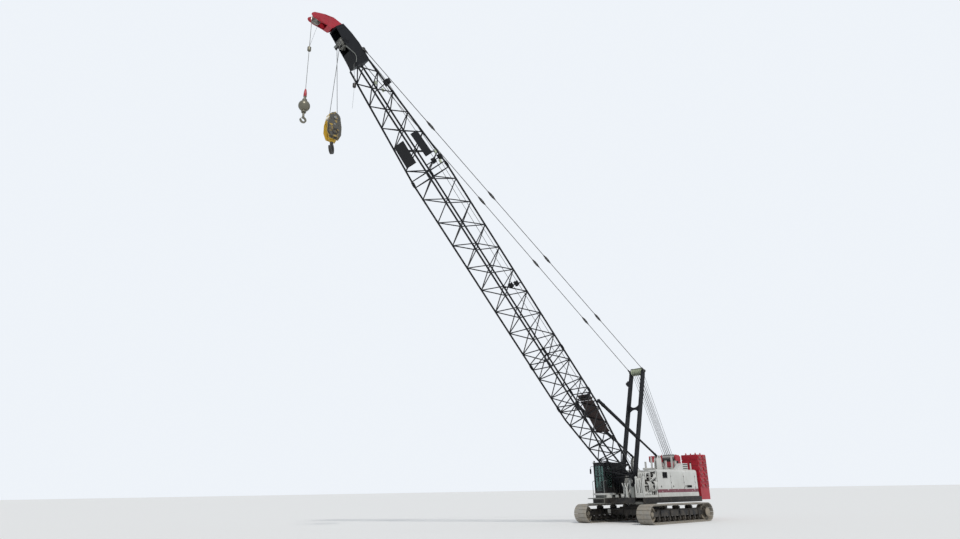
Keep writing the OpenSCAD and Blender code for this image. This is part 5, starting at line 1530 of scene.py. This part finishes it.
class CRANE_OT_pendant_fittings(bpy.types.Operator):
    """Adds sockets, link plates and pins to the pendants"""

    bl_idname = "crane.pendant_fittings"
    bl_label = "Pendant fittings"

    def execute(self, context):
        bm = bmesh.new()
        socket = lathe([(0, 0), (0.045, 0), (0.05, 0.03), (0.05, 0.12), (0.026, 0.24),
                        (0.022, 0.24), (0, 0.24)], 14)
        for side in SIDES:
            top = Vector((MAST_TOP.x, side * 0.533, MAST_TOP.z))
            low = on_boom(28.87, side * 0.358, 0.48)
            way = (low - top).normalized()
            for fraction in (0.2, 0.4, 0.6, 0.8):
                middle = top.lerp(low, fraction)
                for end in SIDES:
                    stamp(bm, socket, along(middle + way * end * 0.10, middle + way * end))
                    pin = middle + way * end * 0.10
                    rod(bm, pin - Vector((0, 0.06, 0)), pin + Vector((0, 0.06, 0)), 0.022, 10)
                link = along(middle, middle + way, "Y")
                for face in SIDES:
                    place = link @ Matrix.Translation((0, face * 0.05, 0))
                    box(bm, (-0.042, -0.008, -0.16), (0.042, 0.008, 0.16), 0.006, place)
            stamp(bm, socket, along(low - way * 0.06, low - way))
            stamp(bm, socket, along(top + way * 0.10, top + way))
            for point in (low, top):
                rod(bm, point - Vector((0, 0.07, 0)), point + Vector((0, 0.07, 0)), 0.035)
        finish("pendant_links", bm, "dark_steel", "boom")
        return {"FINISHED"}


# Hooks


class CRANE_OT_hook_fittings(bpy.types.Operator):
    """Adds pins, guards and latches to the block and the ball, and the switch lines' weights"""

    bl_idname = "crane.hook_fittings"
    bl_label = "Hook fittings"

    def execute(self, context):
        bright, yellow, dark, ball, red = (bmesh.new() for _ in range(5))
        at = Matrix.Translation(BLOCK)
        pin = lathe([(0, 0.03), (0.06, 0.03), (0.075, 0.015), (0.075, 0), (0, 0)], 20)
        ring = lathe([(0.10, 0), (0.15, 0), (0.155, 0.02), (0.13, 0.03), (0.10, 0.03)], 24, True)
        for side in SIDES:
            stamp(bright, pin, at @ lying(0, side * 0.218, 0, side))
            stamp(bright, pin, at @ lying(0, side * 0.188, -0.36, side) @ Matrix.Scale(0.7, 4))
            stamp(dark, ring, at @ lying(0, side * 0.264, -0.78, side))
            bolted(dark, [at @ p for p in round_points((0, side * 0.264, -0.78), 0.20, 6)],
                   (0, side, 0), 0.018)
            bolted(dark, [at @ Vector((x, side * 0.188, z)) for x in (-0.2, 0.2)
                          for z in (-0.1, -0.38)], (0, side, 0), 0.016)
            for edge in SIDES:
                box(yellow, (edge * 0.345, side * 0.15, -0.85), (edge * 0.372, side * 0.195, -0.40),
                    0.008, at)
        for x, z in ((-0.31, -0.30), (0.31, -0.30), (-0.28, 0.10), (0.28, 0.10), (0, 0.32)):
            rod(yellow, BLOCK + Vector((x, -0.15, z)), BLOCK + Vector((x, 0.15, z)), 0.02, 10)
        for side in SIDES:
            box(yellow, (-0.035, side * 0.15, 0.25), (0.035, side * 0.18, 0.34), 0.006, at)
        nut = lathe([(0.0, 0.12), (0.10, 0.12), (0.12, 0.09), (0.12, 0.02), (0.10, 0), (0, 0)], 20)
        stamp(yellow, nut, at @ Matrix.Translation((0, 0, -1.27)))
        swivel = Matrix.Translation(BLOCK + Vector((0, 0, -1.6)))
        hook = swivel @ Matrix.Rotation(math.radians(45), 4, "Z")
        rope(dark, [hook @ Vector(p) for p in (
            (0.05, 0, 0.26), (0.11, 0, 0.20), (0.16, 0, 0.13), (0.19, 0, 0.07))], 0.016)
        rod(dark, hook @ Vector((0.03, -0.07, 0.25)), hook @ Vector((0.03, 0.07, 0.25)), 0.02, 10)
        at_ball = Matrix.Translation(BALL)
        socket = lathe([(0, 0.42), (0.03, 0.42), (0.05, 0.36), (0.075, 0.2), (0.08, 0.02),
                        (0.07, 0), (0, 0)], 16)
        stamp(red, socket, at_ball @ Matrix.Translation((0, 0, 0.50)))
        collar = lathe([(0.055, 0), (0.11, 0), (0.115, 0.02), (0.115, 0.08), (0.09, 0.11),
                        (0.055, 0.11)], 20, True)
        stamp(ball, collar, at_ball @ Matrix.Translation((0, 0, 0.25)))
        stamp(ball, collar, at_ball @ Matrix.Translation((0, 0, -0.36)))
        rod(ball, BALL + Vector((0, -0.09, 0.5)), BALL + Vector((0, 0.09, 0.5)), 0.025)
        band = lathe([(0.262, -0.02), (0.2695, -0.02), (0.2695, 0.02), (0.262, 0.02)], 48, True)
        stamp(ball, band, at_ball)
        rope(ball, [BALL + Vector(p) for p in (
            (0.03, 0, -0.60), (0.07, 0, -0.64), (0.10, 0, -0.69), (0.115, 0, -0.73))], 0.011)
        weight = lathe([(0.03, -0.11), (0.075, -0.11), (0.09, -0.09), (0.09, 0.09), (0.075, 0.11),
                        (0.03, 0.11)], 18, True)
        stamp(ball, weight, Matrix.Translation(TIP_WEIGHT))
        stamp(dark, weight, Matrix.Translation(HEAD_WEIGHT))
        finish("block_pins", bright, "bare_steel", "main_block")
        finish("block_edges", yellow, "yellow_paint", "main_block")
        finish("block_fittings", dark, "dark_steel", "main_block")
        finish("ball_fittings", ball, "ball_steel", "ball")
        finish("ball_socket", red, "red_paint", "ball")
        return {"FINISHED"}


# Ropes


class CRANE_OT_hoist_ropes(bpy.types.Operator):
    """Leads the hoist ropes from the drums over the boom's back to its head and tip"""

    bl_idname = "crane.hoist_ropes"
    bl_label = "Hoist ropes"

    def execute(self, context):
        radius = context.scene.crane_sizes.rope_radius
        guide = {y: on_boom(GUIDE_S, y, 1.0) for y in (GUIDE_Y, -GUIDE_Y)}
        for name, start, y, bends in (
            ("front_hoist_lead", Vector((0.10, 0.15, 2.22)), GUIDE_Y, (0.1,)),
            ("rear_hoist_lead", Vector((-1.08, -0.15, 2.22)), -GUIDE_Y, ()),
        ):
            bm = bmesh.new()
            rope(bm, [start, *(start.lerp(guide[y], t) for t in bends), guide[y]], radius)
            finish(name, bm, "rope_steel", ("upper", "boom", start, guide[y]), 60)
        bm, dark = bmesh.new(), bmesh.new()
        main_line = [(GUIDE_S, GUIDE_Y, 1.0), (LOW_ROLLER_S, GUIDE_Y, 1.02),
                     (TOP_ROLLER_S, 0.20, 1.02), (NECK_ROLLER_S, 0.12, 0.90),
                     (28.42, 0.07, 0.69), (28.62, 0.065, 0.60), (28.70, 0.065, 0.46)]
        whip_line = [(GUIDE_S, -GUIDE_Y, 1.0), (LOW_ROLLER_S, -GUIDE_Y, 1.02),
                     (TOP_ROLLER_S, -0.1, 1.02), (28.4, -0.02, 0.70), (29.9, 0, 0.50),
                     (30.40, 0, 0.31), (30.80, 0, -0.03), (31.12, 0, -0.36), (31.27, 0, -0.62),
                     (31.295, 0, -0.93)]
        for line in (main_line, whip_line):
            points = []
            for a, b in zip(line, line[1:]):
                steps = max(2, int((b[0] - a[0]) / 1.5))
                points += spread(on_boom(*a), on_boom(*b), steps)[:-1]
            points.append(on_boom(*line[-1]))
            rope(bm, points, radius)
        sheave = lathe([(0.02, -0.03), (0.14, -0.03), (0.14, -0.022), (0.115, -0.008),
                        (0.115, 0.008), (0.14, 0.022), (0.14, 0.03), (0.02, 0.03)], 28, True)
        for s, y, off in ((GUIDE_S, GUIDE_Y, 0.885), (GUIDE_S, -GUIDE_Y, 0.885),
                          (28.5, 0.065, 0.565), (30.36, 0, 0.18)):
            stamp(dark, sheave, BOOM @ lying(s, y, off, -1))
            for edge in SIDES:
                side = plate([(-0.09, -0.10), (0.09, -0.10), (0.05, 0.04), (-0.05, 0.04)], 0.01)
                stamp(dark, side, BOOM @ Matrix.Translation((s, y + edge * 0.045 - 0.005, off)))
            rod(dark, on_boom(s, y - 0.06, off), on_boom(s, y + 0.06, off), 0.02, 10)
        rod(dark, on_boom(GUIDE_S, -CHORD_Y, CHORD_OFF), on_boom(GUIDE_S, CHORD_Y, CHORD_OFF),
            0.032, 10)
        finish("hoist_ropes", bm, "rope_steel", "boom", 60)
        finish("rope_guide_sheaves", dark, "dark_steel", "boom")
        self.switch_lines()
        return {"FINISHED"}

    def switch_lines(self):
        """The thin lines from the head and the tip to the switch weights."""
        for name, body, ends, low in (
            ("tip_switch_lines", "ball", (on_boom(30.92, 0.12, -0.94), on_boom(31.16, -0.1, -1.12)),
             Vector((BALL.x, 0, 22.36))),
            ("head_switch_lines", "main_block",
             (on_boom(28.44, 0.26, -0.50), on_boom(28.44, 0.14, -0.50)),
             Vector((21.05, 0.2, 21.28))),
        ):
            bm = bmesh.new()
            for i, high in enumerate(ends):
                foot = low + Vector((0, 0.05 * (1 if i else -1), 0))
                rope(bm, (high, foot), 0.006, 6)
            if body == "main_block":
                rope(bm, spread((21.05, 0.2, 21.10), (21.09, 0.2, 19.83), 6), 0.006, 6)
            finish(name, bm, "rope_steel", ("boom", body, ends[0], low), 60)


class CRANE_OT_boom_hoist_ropes(bpy.types.Operator):
    """Reeves the boom hoist rope between the mast's top and the sheaves on the gantry"""

    bl_idname = "crane.boom_hoist_ropes"
    bl_label = "Boom hoist ropes"

    def execute(self, context):
        radius = context.scene.crane_sizes.rope_radius * 0.8
        way = (MAST_TOP - BAIL).normalized()
        out = Vector((way.z, 0, -way.x))
        bm = bmesh.new()
        for i in range(-2, 3):
            for side in SIDES:
                top = MAST_TOP + out * (side * 0.21) + Vector((0, i * 0.145 + side * 0.01, 0))
                low = BAIL + out * (side * 0.2) + Vector((0, (i + side * 0.5) * 0.128, 0))
                rope(bm, (low, top), radius, 6)
        finish("boom_hoist_ropes", bm, "rope_steel", ("upper", "mast", BAIL, MAST_TOP))
        return {"FINISHED"}


# Stage


class CRANE_OT_stage(bpy.types.Operator):
    """Makes the floor, the light and the camera at the photograph's view"""

    bl_idname = "crane.stage"
    bl_label = "Stage"

    def execute(self, context):
        scene = context.scene
        scene.view_settings.view_transform = "Standard"
        shade = tuple(scene.crane_colours.floor)
        bm = bmesh.new()
        bmesh.ops.create_grid(bm, x_segments=2, y_segments=2, size=900)
        floor = new_object("floor", bm)
        tree, shader, coords = shaded("floor", specular=0.2)
        grain = noise(tree, coords.outputs["Object"], 1.3, 6)
        pale = mixed(tree, maths(tree, "MULTIPLY", grain, 0.05), shade, (0.70, 0.69, 0.67, 1))
        tree.links.new(pale, shader.inputs["Base Color"])
        tree.links.new(maths(tree, "ADD", 0.85, maths(tree, "MULTIPLY", grain, 0.1)),
                       shader.inputs["Roughness"])
        floor.data.materials.append(bpy.data.materials["floor"])
        self.light(scene)
        self.aim(scene)
        return {"FINISHED"}

    def light(self, scene):
        """Lights the stage with a pale sky and a soft sun."""
        world = bpy.data.worlds.new("pale_sky")
        world.use_nodes = True
        tree = world.node_tree
        tree.nodes.clear()
        seen = node(tree, "ShaderNodeBackground", {"Color": (0.86, 0.90, 0.95, 1), "Strength": 1.0})
        lit = node(tree, "ShaderNodeBackground", {"Color": (0.86, 0.92, 1.0, 1), "Strength": 0.62})
        path = node(tree, "ShaderNodeLightPath")
        direct = maths(tree, "ADD", path.outputs["Is Camera Ray"],
                       path.outputs["Is Transmission Ray"], True)
        both = node(tree, "ShaderNodeMixShader", {0: direct, 1: lit.outputs[0], 2: seen.outputs[0]})
        leave = node(tree, "ShaderNodeOutputWorld")
        tree.links.new(both.outputs[0], leave.inputs[0])
        scene.world = world
        lamp = bpy.data.lights.new("sun", "SUN")
        lamp.energy, lamp.angle, lamp.color = 1.9, math.radians(4), (1.0, 0.96, 0.90)
        sun = bpy.data.objects.new("sun", lamp)
        sun.rotation_euler = Vector((-0.42, -0.72, -0.80)).to_track_quat("-Z", "Y").to_euler()
        scene.collection.objects.link(sun)

    def aim(self, scene):
        """Stands the camera where the photograph was taken."""
        yaw, pitch, roll = (math.radians(turn) for turn in CAMERA_TURNS)
        ahead = Vector((math.cos(yaw) * math.cos(pitch), math.sin(yaw) * math.cos(pitch),
                        math.sin(pitch)))
        right = Vector((math.sin(yaw), -math.cos(yaw), 0))
        up = right.cross(ahead)
        across = right * math.cos(roll) + up * math.sin(roll)
        upward = up * math.cos(roll) - right * math.sin(roll)
        data = bpy.data.cameras.new("camera")
        data.sensor_width, data.lens, data.clip_end = 36.0, CAMERA_LENS, 3000.0
        camera = bpy.data.objects.new("camera", data)
        place = Matrix((across, upward, -ahead)).transposed().to_4x4()
        place.translation = CAMERA_PLACE
        camera.matrix_world = place
        scene.collection.objects.link(camera)
        scene.camera = camera


OPERATORS = (
    CRANE_OT_stage,
    CRANE_OT_finishes,
    CRANE_OT_tracks,
    CRANE_OT_crawler_fittings,
    CRANE_OT_carbody_fittings,
    CRANE_OT_house_fittings,
    CRANE_OT_pump_piping,
    CRANE_OT_deck_fittings,
    CRANE_OT_drum_windings,
    CRANE_OT_gantry_fittings,
    CRANE_OT_counterweight_fittings,
    CRANE_OT_cab_fittings,
    CRANE_OT_seat,
    CRANE_OT_platform_fittings,
    CRANE_OT_mast_fittings,
    CRANE_OT_backstop_fittings,
    CRANE_OT_boom_fittings,
    CRANE_OT_head_fittings,
    CRANE_OT_pendant_fittings,
    CRANE_OT_hook_fittings,
    CRANE_OT_hoist_ropes,
    CRANE_OT_boom_hoist_ropes,
)


class CRANE_PT_panel(bpy.types.Panel):
    """Lists the crane's pieces"""

    bl_idname = "CRANE_PT_panel"
    bl_label = "Crane"
    bl_space_type = "VIEW_3D"
    bl_region_type = "UI"
    bl_category = "Crane"

    def draw(self, context):
        for operator in OPERATORS:
            self.layout.operator(operator.bl_idname)


CLASSES = (CraneSizes, CraneColours, *OPERATORS, CRANE_PT_panel)


def register():
    for each in CLASSES:
        bpy.utils.register_class(each)
    bpy.types.Scene.crane_sizes = bpy.props.PointerProperty(type=CraneSizes)
    bpy.types.Scene.crane_colours = bpy.props.PointerProperty(type=CraneColours)


def unregister():
    del bpy.types.Scene.crane_colours
    del bpy.types.Scene.crane_sizes
    for each in reversed(CLASSES):
        bpy.utils.unregister_class(each)


def main():
    register()
    for operator in OPERATORS:
        getattr(bpy.ops.crane, operator.bl_idname.split(".")[1])()


if __name__ == "__main__":
    main()
